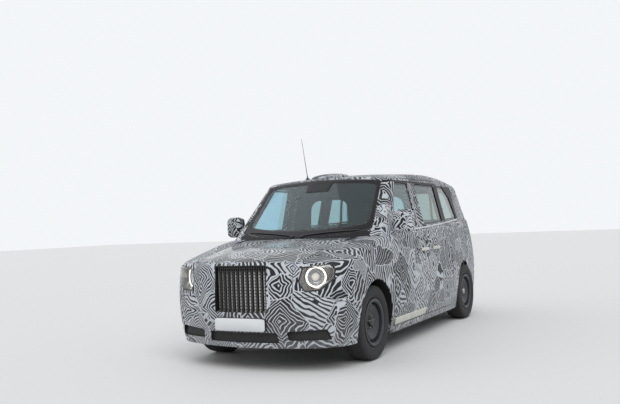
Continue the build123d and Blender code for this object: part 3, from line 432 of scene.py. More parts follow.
def pillar_black(f, shade):
    """Gloss black pillars behind the front door, a black rail over the side windows and a black
    cowl under the windscreen, each a box of places."""
    x, y, z = f.split(f.place)
    out = f.math("ABSOLUTE", y)
    side = f.above(out, 0.68)
    pillar = f.times(side, f.times(f.between(x, -1.60, -0.735), f.between(z, 1.262, 1.70, 0.003)))
    rail = f.times(side, f.times(f.between(x, -0.86, 0.93), f.between(z, 1.695, 1.716, 0.002)))
    cowl = f.times(f.above(x, 1.20, 0.004), f.rest(f.above(out, 0.75)))
    mask = f.math("MAXIMUM", f.math("MAXIMUM", pillar, cowl), rail)
    return f.mix(mask, shade, (0.010, 0.010, 0.012))


FILM_FRONT = test_film("film_front", 0.265, 0.042, 0.34, 3.7, 0.06)
FILM_BONNET = test_film("film_bonnet", 0.265, 0.042, 0.32, 5.9, 0.7)
FILM_SIDE = test_film("film_side", 0.235, 0.046, 0.40, 7.7, 0.0, pillar_black)
FILM_SMALL = test_film("film_small", 0.150, 0.036, 0.42, 12.3, 0.05, lined=False)
print("four cuts of film, motifs of 150 to 265 mm")

# %% [markdown]
# ## Plain finishes
#
# Everything else is moulded plastic, paint, metal, glass, rubber or cloth. One flat colour would
# look like a toy, so each kind has its own small recipe: a fine bump at the size of its grain,
# clouds or stains in the colour, and a gloss that is uneven from dust and handling.


# %% Recipes for plastic, metal, glass, cloth and rubber
def shaded(colour, factor):
    return tuple(min(1.0, factor * c) for c in colour)


def grained(name, colour, roughness, grain=900.0, depth=0.00025, variety=0.25, **sockets):
    """A moulded or painted surface: fine grain in the bump, cloudy colour and uneven gloss."""
    f = Finish(name, colour, roughness, **sockets)
    f.colour(f.mix(f.noise(7.0, 4.0), shaded(colour, 1 - variety), shaded(colour, 1 + variety)))
    f.roughness(f.noise(31.0, 3.0), max(0.02, roughness * 0.8), min(1.0, roughness * 1.2))
    f.bump(f.noise(grain, 2.0), depth, 0.6)
    return f.material


def worn_metal(name, colour, roughness, metallic=1.0):
    """Metal with fine brushing, darker stains and uneven gloss."""
    f = Finish(name, colour, roughness, metallic)
    stain = f.noise(19.0, 6.0, 0.7)
    f.colour(f.mix(stain, shaded(colour, 0.55), colour))
    f.roughness(stain, roughness * 0.75, min(1.0, roughness * 1.5))
    f.bump(f.noise(420.0, 3.0), 0.0002, 0.5)
    return f.material


def window_glass(name, tint, front=None):
    """Clear tinted glass with a little haze in its gloss. The windscreen may be paler."""
    f = Finish(name, tint, 0.03, Transmission_Weight=1.0, IOR=1.45)
    haze = f.noise(9.0, 5.0)
    f.roughness(haze, 0.0, 0.06)
    shade = f.mix(haze, shaded(tint, 0.93), tint)
    if front:
        shade = f.mix(f.above(f.split(f.place)[0], 0.3, 0.01), shade, front)
    f.colour(shade)
    return f.material


def glowing(name, colour, strength):
    """A glowing finish, a little uneven along its length: a real light guide on the ring, and painted light on the
    projector's eye.
    """
    f = Finish(name, colour, 0.25, Emission_Color=(*colour, 1), Emission_Strength=strength)
    f.colour(f.mix(f.noise(60.0), shaded(colour, 0.9), colour))
    return f.material


def cloth(name, colour, thread):
    """Woven cover: two crossed waves of threads in the bump and in the colour."""
    f = Finish(name, colour, 0.85, Sheen_Weight=0.25, Sheen_Roughness=0.4)
    x, y, z = f.split(f.place)
    warp = f.wave(f.math("ADD", y, f.times(z, 0.6)), thread)
    weft = f.wave(f.math("SUBTRACT", f.math("ADD", x, z), f.times(y, 0.3)), thread)
    weave = f.times(warp, weft)
    share = f.math("ADD", f.times(weave, 0.3), 0.5)
    f.colour(f.mix(share, shaded(colour, 0.6), shaded(colour, 1.3)))
    f.roughness(f.noise(12.0), 0.75, 0.95)
    f.bump(weave, 0.0006, 0.6)
    return f.material


def tyre_rubber():
    """Matt black rubber under an uneven haze of pale dust."""
    f = Finish("tyre_rubber", (0.02, 0.02, 0.02), 0.8)
    dust = f.noise(17.0, 6.0, 0.65)
    f.colour(f.mix(f.times(dust, 0.55), (0.011, 0.011, 0.012), (0.055, 0.055, 0.058)))
    f.roughness(dust, 0.7, 0.95)
    f.bump(f.noise(300.0, 3.0), 0.0004, 0.7)
    return f.material


def red_lens():
    """A red lamp cover: fine level ribs by a sine of the height, under a clear coat."""
    f = Finish("lamp_red", (0.30, 0.006, 0.008), 0.12, Coat_Weight=1.0)
    f.bump(f.math("SINE", f.times(f.split(f.place)[2], 900.0)), 0.0006, 0.5)
    f.colour(f.mix(f.noise(20.0), (0.20, 0.004, 0.006), (0.42, 0.010, 0.012)))
    return f.material


print("recipes are ready")

# %% [markdown]
# ## The grille's finish
#
# The grille is black, and every second upright bar carries a bright strip along its front edge.
# The strips are painted darker towards the cab's right and under the bonnet's lip: painted shade.
# The bars are CAD, so the strips are found by place: a cosine across the grille marks the bars,
# and a curve that follows the grille's bow marks their front edges.

# %% Black grille with bright strips
GRILLE_HALF = 0.262
BAR_PITCH = 2 * GRILLE_HALF / 22
BOW_R = 1.7


def barred_grille():
    """The strips' mask is a product of four soft steps: bar, height, front edge and width. The top of the height step
    and the dimming towards the cab's right are painted shade.
    """
    f = Finish("grille_black", (0.012, 0.012, 0.013), 0.32)
    x, y, z = f.split(f.place)
    first_bar = GRILLE_HALF - BAR_PITCH
    bars = f.math("COSINE", f.times(f.math("ADD", y, first_bar), 2 * math.pi / (2 * BAR_PITCH)))
    front = f.math("ADD", x, f.times(f.times(y, y), 1 / (2 * BOW_R)))
    # The height step's top edge fades the strips out under the bonnet's lip: painted shade.
    inside = f.times(f.between(z, 0.530, 0.870, 0.035), f.above(front, 2.369, 0.003))
    # Painted shade: the strips are dimmed towards the cab's right.
    painted_shade_right = f.math("ADD", 0.30, f.times(0.70, f.above(y, -0.04, 0.22)))
    strip = f.times(f.above(bars, 0.3, 0.1), f.times(inside, f.between(y, -0.252, 0.252)))
    black = f.mix(f.noise(7.0, 4.0), (0.009, 0.009, 0.010), (0.016, 0.016, 0.017))
    f.colour(f.mix(f.times(strip, painted_shade_right), black, (0.58, 0.58, 0.56)))
    f.roughness(f.noise(31.0, 3.0), 0.22, 0.40)
    f.bump(f.noise(500.0, 2.0), 0.0002, 0.6)
    return f.material


GRILLE_BLACK = barred_grille()
print("bright bars every", round(2000 * BAR_PITCH, 1), "mm")

# %% [markdown]
# ## Every CAD part gets its finish
#
# The finishes are mixed once, from the recipes above, and each CAD part takes the one of its real
# material. A list of parts for each finish is easier to check than a finish for each part.

# %% The cab's finishes
RUBBER = tyre_rubber()
WHEEL_PAINT = worn_metal("wheel_paint", (0.060, 0.063, 0.070), 0.38, 0.4)
HUB_METAL = worn_metal("hub_metal", (0.50, 0.50, 0.48), 0.42)
BOLT_METAL = worn_metal("bolt_metal", (0.22, 0.22, 0.23), 0.40)
AXLE_STEEL = worn_metal("axle_steel", (0.16, 0.16, 0.17), 0.55)
CAST_IRON = worn_metal("cast_iron", (0.11, 0.11, 0.11), 0.7, 0.8)
BRIGHT_TRIM = worn_metal("bright_trim", (0.72, 0.73, 0.74), 0.22)
# The lamp housings' metal is given a pale warm colour to offset the shade behind the lens: painted light.
BOWL_PAINTED_LIGHT = worn_metal("lamp_bowl", (0.36, 0.33, 0.30), 0.22)
LAMP_CHROME = worn_metal("lamp_chrome", (0.70, 0.70, 0.70), 0.10)
MIRROR_GLASS = worn_metal("mirror_glass", (0.80, 0.82, 0.84), 0.03)
BATTERY_CASE = grained("battery_case", (0.10, 0.10, 0.11), 0.5)
TRIM_BLACK = grained("trim_black", (0.014, 0.014, 0.015), 0.5)
GLOSS_BLACK = grained("gloss_black", (0.006, 0.006, 0.008), 0.16, 60.0, 0.0001, Specular_IOR_Level=0.3)
CABIN_PLASTIC = grained("cabin_plastic", (0.040, 0.042, 0.046), 0.62, 700.0)
FLOOR_COATING = grained("floor_coating", (0.045, 0.045, 0.048), 0.75, 260.0)
PALE_TRIM = grained("pale_trim", (0.62, 0.63, 0.56), 0.45)
BELT_WHITE = grained("belt_white", (0.72, 0.73, 0.75), 0.3, 800.0, 0.0001)
PLATE_FRONT = grained("plate_white", (0.66, 0.68, 0.70), 0.35, 1200.0, 0.0001, 0.05)
PLATE_REAR = grained("plate_yellow", (0.72, 0.55, 0.10), 0.35, 1200.0, 0.0001, 0.05)
RAIL_YELLOW = grained("rail_yellow", (0.85, 0.48, 0.03), 0.4)
# The projector's eye glows weakly as painted light; it is not a lit lamp.
EYE_PAINTED_GLOW = glowing("projector_painted_glow", (1.0, 0.93, 0.82), 0.35)
LAMP_GLOW = glowing("lamp_glow", (1.0, 0.96, 0.88), 1.7)
SCREEN_GLASS = window_glass("window_glass", (0.50, 0.62, 0.60), (0.52, 0.74, 0.82))
LAMP_GLASS = window_glass("lamp_glass", (0.92, 0.93, 0.95))
LAMP_RED = red_lens()
SEAT_CLOTH = cloth("seat_cloth", (0.050, 0.075, 0.095), 0.006)
print(len(bpy.data.materials), "finishes are mixed")

# %% Dress the CAD parts
SIDES = ((1, "left"), (-1, "right"))
CORNERS = ("front_left", "front_right", "rear_left", "rear_right")
FINISH_OF = {
    FILM_FRONT: ["front_wings", "front_bumper"],
    FILM_BONNET: ["bonnet"],
    FILM_SIDE: ["body_shell", "rear_bumper", "tailgate"] + [
        f"door_{end}_{word}" for end in ("front", "rear") for word in ("left", "right")
    ],
    FILM_SMALL: ["mirror_left", "mirror_right", "roof_sign"],
    SCREEN_GLASS: ["fixed_glass", "tailgate_glass"] + [
        f"door_{end}_glass_{word}" for end in ("front", "rear") for word in ("left", "right")
    ],
    LAMP_GLASS: ["headlamp_lenses"],
    LAMP_RED: ["tail_lamps"],
    BOWL_PAINTED_LIGHT: ["headlamp_housings"],
    GRILLE_BLACK: ["grille"],
    TRIM_BLACK: ["front_liners", "undertray", "aerial", "wipers"],
    FLOOR_COATING: ["floor_pan", "boot_floor"],
    AXLE_STEEL: ["front_suspension", "rear_axle", "knuckle_left", "knuckle_right"],
    BATTERY_CASE: ["battery_pack"],
    CAST_IRON: ["engine_block"],
    RUBBER: ["tyre_" + corner for corner in CORNERS],
    WHEEL_PAINT: ["rim_" + corner for corner in CORNERS],
    CABIN_PLASTIC: ["dashboard", "steering_wheel", "partition"],
    SEAT_CLOTH: ["driver_seat", "rear_bench"] + ["jump_seat_" + word for word in ("left", "centre", "right")],
}
for material, names in FINISH_OF.items():
    for node in names:
        NODES[node].data.materials.clear()
        NODES[node].data.materials.append(material)
print("dressed", sum(map(len, FINISH_OF.values())), "of", len(NODES), "CAD nodes")

# %% [markdown]
# ## Tyres with tread
#
# The CAD tyres are smooth rings. A winter tyre has four grooves round it and short slots across
# its shoulders. The tyre is a lathe shape whose radius is lowered wherever a groove or slot runs,
# so the tread is real geometry. Its grid is finer over the tread than over the walls.

# %% Make the tyres
TYRE_R, TREAD_HALF, BLOCKS = 0.345, 0.088, 64
GROOVES_AT = (-0.058, -0.021, 0.021, 0.058)
GROOVE_HALF, GROOVE_DEPTH, SLOT_DEPTH, SHOULDER_DEPTH = 0.0048, 0.0075, 0.0060, 0.0035
FRONT_AXLE_X, REAR_AXLE_X, TRACK_HALF = 1.5285, -1.4565, 0.7975


def tyre_outline():
    """The radius and the place across of one cross-section: wall, tread, wall, inside."""
    wall = smooth_path([
        (0.2265, 0.0900), (0.2440, 0.1010), (0.2660, 0.1065), (0.2950, 0.1082), (0.3170, 0.1050),
        (0.3330, 0.0975), (0.3405, TREAD_HALF),
    ], 20)[:-1]
    across = np.linspace(TREAD_HALF, -TREAD_HALF, 61)
    crown = TYRE_R - 0.0045 * (np.abs(across) / TREAD_HALF) ** 3
    inside = smooth_path([(0.2265, -0.0900), (0.2200, 0.0), (0.2265, 0.0900)], 7)[1:-1]
    r = np.concatenate([wall[:, 0], crown, wall[::-1, 0], inside[:, 0]])
    w = np.concatenate([wall[:, 1], across, -wall[::-1, 1], inside[:, 1]])
    tread = np.zeros(len(w), bool)
    tread[len(wall):len(wall) + len(across)] = True
    return r, w, tread


def tyre_grid(centre, outward):
    """The outline goes round the axle, and the radius loses the depth of the deepest cut there: a
    groove lies near one of four lines, and a slot near one of the block edges."""
    r, w, tread = tyre_outline()
    angle = np.arange(BLOCKS * 7) / (BLOCKS * 7) * 2 * np.pi
    far = np.abs(w)[:, None]
    phase = (angle[None] * BLOCKS / (2 * np.pi) + far * 16 + 0.5 * (far < 0.045)) % 1.0
    groove = np.max([np.abs(w - at) < GROOVE_HALF for at in GROOVES_AT], axis=0) & tread
    slot = (phase < 0.2) & (tread[:, None] & (far > 0.026))
    shoulder = (phase < 0.2) & ((r > 0.325) & ~tread)[:, None]
    depth = np.maximum(groove[:, None] * GROOVE_DEPTH, slot * SLOT_DEPTH)
    radius = r[:, None] - np.maximum(depth, shoulder * SHOULDER_DEPTH)
    rib = 0.0007 * (np.abs(r - 0.288) < 0.004) + 0.0005 * (np.abs(r - 0.262) < 0.003)
    side = (w + np.sign(w) * rib)[:, None] * np.ones_like(radius)
    place = [radius * np.cos(angle), outward * side, radius * np.sin(angle)]
    return np.asarray(centre) + np.stack(place, axis=-1)


WHEELS = {
    corner: (
        FRONT_AXLE_X if corner.startswith("front") else REAR_AXLE_X,
        TRACK_HALF if corner.endswith("left") else -TRACK_HALF,
    )
    for corner in CORNERS
}
for corner, (x, y) in WHEELS.items():
    grid = tyre_grid((x, y, TYRE_R), math.copysign(1, y))
    tyre = add_ring("treaded_tyre_" + corner, grid, "wheel_" + corner, RUBBER)
    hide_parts("tyre_" + corner)
print("tyres", grid.shape)

# %% [markdown]
# ## Hubs, bolts and caps
#
# A pressed steel wheel is held by five bolts round a hub. The front hubs stand out of the disc
# and carry a dark cap; the rear ones are paler. Hexagon heads are short six-sided tubes.

# %% Dress the wheels
BOLT_COUNT, BOLT_CIRCLE_R = 5, 0.057
BOLT = [(0.0145, -0.012), (0.0145, 0.004), (0.0105, 0.006), (0.0105, 0.019), (0.0085, 0.021)]
HUB_CAP = [(0.038, -0.010), (0.038, 0.014), (0.036, 0.020), (0.030, 0.0245), (0.018, 0.027), (0.001, 0.028)]
for corner, (x, y) in WHEELS.items():
    side = math.copysign(1, y)
    at = x + np.array([0.020, 0.040, 0.057, 0.085, 0.12])
    hub, _, _, disc, _ = reach("rim_" + corner, 1, at, np.full(5, TYRE_R), side) * side
    turns = 2 * np.pi * (np.arange(BOLT_COUNT) + 0.25) / BOLT_COUNT
    across, up = x + BOLT_CIRCLE_R * np.cos(turns), TYRE_R + BOLT_CIRCLE_R * np.sin(turns)
    bolts = [turned(BOLT, (a, side * disc, b), (0, side, 0), 6) for a, b in zip(across, up)]
    add_solids("wheel_bolts_" + corner, bolts, "wheel_" + corner, BOLT_METAL, smooth=False)
    metal = HUB_METAL if corner.startswith("rear") else WHEEL_PAINT
    cap = turned(HUB_CAP, (x, side * max(disc, hub), TYRE_R), (0, side, 0), 48)
    add_solid("hub_cap_" + corner, cap, "wheel_" + corner, metal)
    print(corner, "hub and disc faces at", round(hub, 4), round(disc, 4))

# %% [markdown]
# ## The windscreen's black rim
#
# A glued windscreen has a wide black printed band round its edge that hides the glue, and a
# black patch at the top for the mirror and camera. Both are thin sheets laid just proud of the
# glass. Their outline is worked out in the screen's own two directions, across and up, and the
# third coordinate comes from where a line along X meets the glass.

# %% Screen rim and camera patch
SHEET_LIFT, SHEET_THICKNESS = 0.0015, 0.001


def on_screen(across, up_share):
    """Maps (-1..1, 0..1) to the screen: its foot and head are shallow arcs and its sides lean in."""
    y = across * (0.757 - 0.078 * up_share)
    foot = 1.124 + 0.077 * (y / 0.751) ** 2
    head = 1.742 - 0.034 * (y / 0.671) ** 2
    return y, foot + (head - foot) * up_share


def screen_loop(count, left, bottom, top, power):
    """A rounded rectangle in the screen's own directions, set in by the given shares."""
    loop = rounded(count, 2, 2, power)
    across = loop[:, 0] * (1 - left)
    share = bottom + (1 - top - bottom) * (loop[:, 1] + 1) / 2
    return np.stack(on_screen(across, share))


def laid_on_screen(y, z):
    x = reach("fixed_glass", 0, y, z, 1) + SHEET_LIFT
    return np.stack([x, y, z], axis=-1)


outer, inner = screen_loop(192, 0.0, 0.0, 0.0, 40.0), screen_loop(192, 0.062, 0.150, 0.055, 14.0)
rim_y, rim_z = (outer[k] + (inner[k] - outer[k]) * np.linspace(1, 0, 6)[:, None] for k in range(2))
rim = laid_on_screen(rim_y, rim_z)
add_sheet("screen_rim", rim, "body", GLOSS_BLACK, SHEET_THICKNESS, close_columns=True)
across, share = np.meshgrid(np.linspace(-1, 1, 15), np.linspace(1, 0, 11))
patch = laid_on_screen(*on_screen(across * (0.20 + 0.03 * share), 0.80 + 0.155 * share))
add_sheet("camera_patch", patch, "body", GLOSS_BLACK, SHEET_THICKNESS)
print("screen rim from", round(float(rim[..., 0].min()), 3), "to", round(float(rim[..., 0].max()), 3))

# %% [markdown]
# ## The line along the windows
#
# A thin bright strip runs along the foot of the side windows. It is cut at the doors, and each
# length rides on its own door. A small half-round section is carried along the line, which keeps
# a fixed distance from the panel behind it.

# %% Trim strips
BELT_X = [-1.56, -1.333, -0.64, 0.095, 0.799, 0.93]
BELT_Z = [1.277, 1.263, 1.226, 1.192, 1.169, 1.166]
BELT_WIDTH, BELT_DEPTH = 0.015, 0.008


def belt_strip(node, side, x0, x1):
    """A flat half-round bar: the line's height is read off a table and its Y off the panel."""
    x = np.linspace(x0, x1, 25)
    z = np.interp(x, BELT_X, BELT_Z)
    y = reach(node, 1, x, z, side) + side * BELT_DEPTH * 0.3
    return sweep(np.stack([x, y, z], axis=-1), rounded(12, BELT_WIDTH, BELT_DEPTH, 3.0))


for side, word in SIDES:
    for door, x0, x1 in (("door_front_", 0.925, 0.046), ("door_rear_", 0.034, -0.826)):
        add_solid("belt_strip_" + door + word, belt_strip(door + word, side, x0, x1), door + word, BELT_WHITE)
    add_solid("belt_strip_quarter_" + word, belt_strip("body_shell", side, -0.840, -1.56), "body", BELT_WHITE)
print("six lengths of belt strip")

# %% [markdown]
# ## Door handles and sill strips
#
# The pale handle covers are bars that lie along the doors, and a low step guards the sill under
# each front door. A handle is a swept section that narrows at its ends; the sill's strip is a
# sheet that bulges a little across its height.

# %% Handles and sills
HANDLE_Z, HANDLE_WIDTH, HANDLE_DEPTH = 0.962, 0.034, 0.0175
SILL_X0, SILL_X1 = 0.142, 1.044
for side, word in SIDES:
    for door, x0, x1 in (("front", 0.071, 0.334), ("rear", -0.309, -0.046)):
        node = f"door_{door}_{word}"
        x = np.linspace(x0, x1, 33)
        y = reach(node, 1, x[1:-1], np.full(31, HANDLE_Z), side)
        y = np.concatenate([[y[0]], y, [y[-1]]])
        taper = 0.02 + 0.98 * np.sqrt(np.clip(1 - np.linspace(-1, 1, 33) ** 12, 0, 1))
        path = np.stack([x, y - side * 0.0065, np.full(33, HANDLE_Z)], axis=-1)
        bar = sweep(path, rounded(20, HANDLE_WIDTH, HANDLE_DEPTH, 3.5), scale=taper)
        add_solid(f"handle_cover_{door}_{word}", bar, node, PALE_TRIM)
    a, b = np.meshgrid(np.linspace(SILL_X0, SILL_X1, 41), np.linspace(0, 1, 7))
    z = 0.256 + 0.070 * b - 0.004 * (a - SILL_X0)
    y = reach("door_front_" + word, 1, a, z, side) + side * (0.0025 + 0.004 * (1 - (2 * b - 1) ** 4))
    add_sheet("sill_strip_" + word, np.stack([a, y, z], axis=-1), "door_front_" + word, PALE_TRIM, 0.003)
print("four handles and two sill strips")

# %% [markdown]
# ## Number plates
#
# Both plates are left blank. Each is a thin flat board with rounded corners, on a black holder.


# %% Blank plates
def board(name, centre, facing, size, body, material, thickness=0.003, power=10.0):
    """A superellipse board: its outline is carried through the thickness and capped."""
    facing = unit(facing)
    across = unit(np.cross([0, 0, 1], facing))
    outline = rounded(96, *size, power)
    flat = outline[:, :1] * across + outline[:, 1:] * np.cross(facing, across)
    depth = np.array([0.0, 0.0, thickness * 0.6, thickness])[:, None, None]
    scale = np.array([0.97, 1.0, 1.0, 0.985])[:, None, None]
    return add_solid(name, np.asarray(centre) + facing * depth + flat * scale, body, material)


PLATE_SIZE, HOLDER_SIZE = (0.520, 0.111), (0.528, 0.119)
FRONT_PLATE_Z, REAR_PLATE_Z = 0.419, 0.80
line = np.linspace(-0.25, 0.25, 21)
front_x = float(reach("front_bumper", 0, line, np.full(21, FRONT_PLATE_Z), 1).max())
line = np.linspace(-0.24, 0.24, 21)
rear_x = float(reach("tailgate", 0, line, np.full(21, REAR_PLATE_Z), -1).min())
for name, x, facing, z, size, body, material, thickness in (
    ("front_plate_holder", front_x - 0.014, 1, FRONT_PLATE_Z, HOLDER_SIZE, "body", TRIM_BLACK, 0.024),
    ("front_plate", front_x + 0.0105, 1, FRONT_PLATE_Z, PLATE_SIZE, "body", PLATE_FRONT, 0.003),
    ("rear_plate_holder", rear_x + 0.016, -1, REAR_PLATE_Z, HOLDER_SIZE, "tailgate", TRIM_BLACK, 0.020),
    ("rear_plate", rear_x - 0.0045, -1, REAR_PLATE_Z, PLATE_SIZE, "tailgate", PLATE_REAR, 0.003),
):
    board(name, (x, 0, z), (facing, 0, 0), size, body, material, thickness)
print("front plate at x", round(front_x, 3), "rear plate at x", round(rear_x, 3))

# %% [markdown]
# ## Inside the headlamps
#
# Behind the clear lens a bright ring, the daytime light, surrounds a dark well with a projector
# lens in its middle. The projector lens glows weakly, which is painted light: it is not lit.
# Ring, well and lens are lathe shapes about the lamp's own axis, which turns outwards from straight ahead.

# %% Headlamp rings and projectors
LAMP_AT, LAMP_TURN = np.array([2.210, 0.660, 0.818]), math.radians(35)
LAMP_WELL = [
    (0.074, -0.004), (0.062, -0.020), (0.055, -0.038), (0.045, -0.039), (0.041, -0.030), (0.038, -0.030),
    (0.036, -0.044), (0.001, -0.046), (0.001, -0.048), (0.038, -0.047), (0.056, -0.041), (0.064, -0.021),
    (0.076, -0.005),
]
t = np.linspace(0, 2 * np.pi, 24, endpoint=False)
LAMP_RING = np.stack([0.0835 + 0.0075 * np.cos(t), 0.001 + 0.006 * np.sin(t)], axis=-1)
t = np.linspace(0, np.pi / 2, 12)
EYE = np.vstack([[(0.034, -0.045)], np.stack([0.034 * np.cos(t), -0.040 + 0.024 * np.sin(t)], axis=-1)])
EYE[-1, 0] = 0.0005
for side, word in SIDES:
    centre = LAMP_AT * (1, side, 1)
    axis = np.array([math.cos(LAMP_TURN), side * math.sin(LAMP_TURN), 0])
    add_ring("lamp_ring_" + word, turned(LAMP_RING, centre, axis, 96), "body", LAMP_GLOW)
    add_ring("lamp_well_" + word, turned(LAMP_WELL, centre, axis, 72), "body", LAMP_CHROME)
    # The eye's weak glow is painted light.
    add_solid("projector_painted_glow_" + word, turned(EYE, centre, axis, 48), "body", EYE_PAINTED_GLOW)
print("lamps at", LAMP_AT.tolist())

# %% [markdown]
# ## Behind and across the grille
#
# Light comes back from the radiator between the grille's bars: a shallow panel whose fins and
# tubes are a fine pattern. Thin wires cross the bars' front edges and follow the grille's bow.


# %% Radiator and cross wires
def radiator_fins():
    """Fins and tubes: the product of a fine wave across and a coarser one upwards."""
    f = Finish("radiator_fins", (0.3, 0.3, 0.3), 0.5, 0.6)
    _, y, z = f.split(f.place)
    fin = f.wave(y, 0.012)
    f.colour(f.mix(f.above(f.times(fin, f.wave(z, 0.020)), 0.0, 0.3), (0.04, 0.04, 0.045), (0.50, 0.49, 0.47)))
    f.roughness(f.noise(40.0), 0.3, 0.7)
    f.bump(fin, 0.001, 0.8)
    return f.material


a, b = np.meshgrid(np.linspace(-1, 1, 21), np.linspace(0, 1, 9))
core = np.stack([2.325 - 0.012 * a**2, GRILLE_HALF * a, 0.534 + 0.392 * b], axis=-1)
add_sheet("radiator_core", core, "body", radiator_fins(), 0.010)
WIRE_COUNT, WIRE_PITCH, LOWEST_WIRE = 14, 0.0276, 0.551
across = np.linspace(-0.258, 0.258, 25)
wire = np.stack([2.3965 - across**2 / (2 * BOW_R), across, np.full(25, LOWEST_WIRE)], axis=-1)
wires = [sweep(wire + (0, 0, k * WIRE_PITCH), rounded(8, 0.0060, 0.0044, 2.0)) for k in range(WIRE_COUNT)]
add_solids("grille_wires", wires, "body", TRIM_BLACK)
print("radiator core and", len(wires), "wires")

# %% [markdown]
# ## Caps on the wiper spindles
#
# Each wiper turns on a spindle that comes through the cowl under a small domed cap, a lathe shape
# that leans back with the windscreen.

# %% Wiper caps
CAP = [(0.019, -0.016), (0.019, 0.004), (0.014, 0.012), (0.001, 0.014)]
for side, word in SIDES:
    cap = turned(CAP, (1.344, side * 0.058, 1.157), (0.6, 0, 0.8), 32)
    add_solid("wiper_cap_" + word, cap, "body", TRIM_BLACK)
print("two spindle caps")

# %% [markdown]
# ## Mirrors
#
# The back of each wrapped mirror head carries a black rim and the silvered glass. Both are
# superellipse boards that face rearwards and a little inwards.

# %% Mirror rims and glass
MIRROR_AT, MIRROR_YAW = np.array([0.955, 1.005, 1.275]), math.radians(22)
for side, word in SIDES:
    back = np.array([-math.cos(MIRROR_YAW), -side * math.sin(MIRROR_YAW), 0])
    centre, door = MIRROR_AT * (1, side, 1), "door_front_" + word
    board("mirror_rim_" + word, centre + back * 0.030, back, (0.196, 0.206), door, TRIM_BLACK, 0.033, 4.0)
    board("mirror_glass_" + word, centre + back * 0.0632, back, (0.172, 0.182), door, MIRROR_GLASS, 0.0015, 4.5)
print("mirrors at", MIRROR_AT.tolist())

# %% [markdown]
# ## Black edges of the side windows
#
# The side panes are bonded or run in black seals, so a dark band frames each one. It is a thin
# sheet just outside the glass: a ring between the pane's outline and the same outline drawn in.

# %% Window bands
BAND_WIDTH = 0.020
PANES = {
    "door_front": [(0.900, 1.190), (0.172, 1.217), (0.172, 1.688), (0.530, 1.688), (0.558, 1.662)],
    "door_rear": [(-0.052, 1.226), (-0.733, 1.254), (-0.733, 1.688), (-0.052, 1.688)],
    "quarter": [(-0.913, 1.265), (-1.515, 1.288), (-1.412, 1.556), (-1.190, 1.684), (-0.913, 1.688)],
}


def walk(corners, count):
    """Points at even steps of length along a closed run of straight edges."""
    p = np.vstack([corners, corners[:1]])
    length = np.concatenate([[0], np.cumsum(np.linalg.norm(np.diff(p, axis=0), axis=1))])
    at = np.linspace(0, length[-1], count, endpoint=False)
    return np.stack([np.interp(at, length, p[:, 0]), np.interp(at, length, p[:, 1])], axis=-1)


for pane, corners in PANES.items():
    ring = walk(np.array(corners), 160)
    middle = (ring.min(axis=0) + ring.max(axis=0)) / 2
    inset = 2 * BAND_WIDTH / np.ptp(ring, axis=0) * np.array([0, 0.35, 0.7, 1])[:, None, None]
    rows = middle + (ring - middle) * (1 - inset)
    for side, word in SIDES:
        x, z = np.moveaxis(rows[::-side], -1, 0)
        glass = "fixed_glass" if pane == "quarter" else f"{pane}_glass_{word}"
        body = "body" if pane == "quarter" else f"{pane}_{word}"
        band = np.stack([x, reach(glass, 1, x, z, side) + side * SHEET_LIFT, z], axis=-1)
        add_sheet(f"window_band_{pane}_{word}", band, body, GLOSS_BLACK, SHEET_THICKNESS, close_columns=True)
print("six window bands")

# %% [markdown]
# ## The tail
#
# The tailgate carries a high brake lamp under the roof's edge, a wiper on the glass and a black
# grip over the plate, and the bumper has a red reflector at each corner. Bars follow the panel
# behind them; the wiper's arm and blade are swept sections.


# %% Lamps, grip and reflectors
def bar_on(name, node, y0, y1, z, size, body, material, lift=0.0):
    """A bar across a rear panel: its X is read off the panel at each Y and smoothed over five
    points, and its ends narrow."""
    y = np.linspace(y0, y1, 31)
    x = np.pad(reach(node, 0, y, np.full(31, z), -1), 2, mode="edge")
    x = np.convolve(x, np.full(5, 0.2), "valid") - lift
    taper = 0.03 + 0.97 * np.sqrt(np.clip(1 - np.linspace(-1, 1, 31) ** 16, 0, 1))
    bar = sweep(np.stack([x, y, np.full(31, z)], axis=-1), rounded(20, *size, 3.0), scale=taper)
    return add_solid(name, bar, body, material)


bar_on("high_brake_lamp", "tailgate", -0.16, 0.16, 1.690, (0.026, 0.016), "tailgate", LAMP_RED)
bar_on("tailgate_grip", "tailgate", -0.33, 0.33, 0.905, (0.044, 0.026), "tailgate", TRIM_BLACK)
for side, word in SIDES:
    bar_on("rear_reflector_" + word, "rear_bumper", side * 0.50, side * 0.64, 0.400, (0.034, 0.014), "body", LAMP_RED)
    bar_on("plate_lamp_" + word, "tailgate", side * 0.13, side * 0.17, 0.876, (0.014, 0.016), "tailgate",
           PALE_TRIM, lift=0.010)
print("tail lamps, grip and reflectors")

# %% The rear wiper
y, z = np.linspace(0.020, -0.380, 25), np.linspace(1.292, 1.330, 25)
path = np.stack([reach("tailgate_glass", 0, y, z, -1) - 0.018, y, z], axis=-1)
arm = sweep(path[:15], rounded(12, 0.020, 0.010, 3.0), scale=np.linspace(1.3, 0.7, 15))
blade = sweep(path[4:] + (0.007, 0, 0), rounded(10, 0.016, 0.008, 2.0))
add_solids("rear_wiper", [arm, blade], "tailgate", TRIM_BLACK)
spindle_x = reach("tailgate", 0, np.zeros(1), np.full(1, 1.262), -1)[0]
outline = [(0.024, -0.014), (0.024, 0.006), (0.018, 0.016), (0.001, 0.019)]
cap = turned(outline, (spindle_x, 0.02, 1.275), (-0.96, 0, 0.28), 32)
add_solid("rear_wiper_cap", cap, "tailgate", TRIM_BLACK)
print("rear wiper from y", y[0], "to", y[-1])

# %% [markdown]
# ## Mesh in the bumper's openings
#
# Dark moulded mesh closes the bumper's lower openings. Each panel follows the bumper's front a
# little way in, and its cells are bumps in the finish.


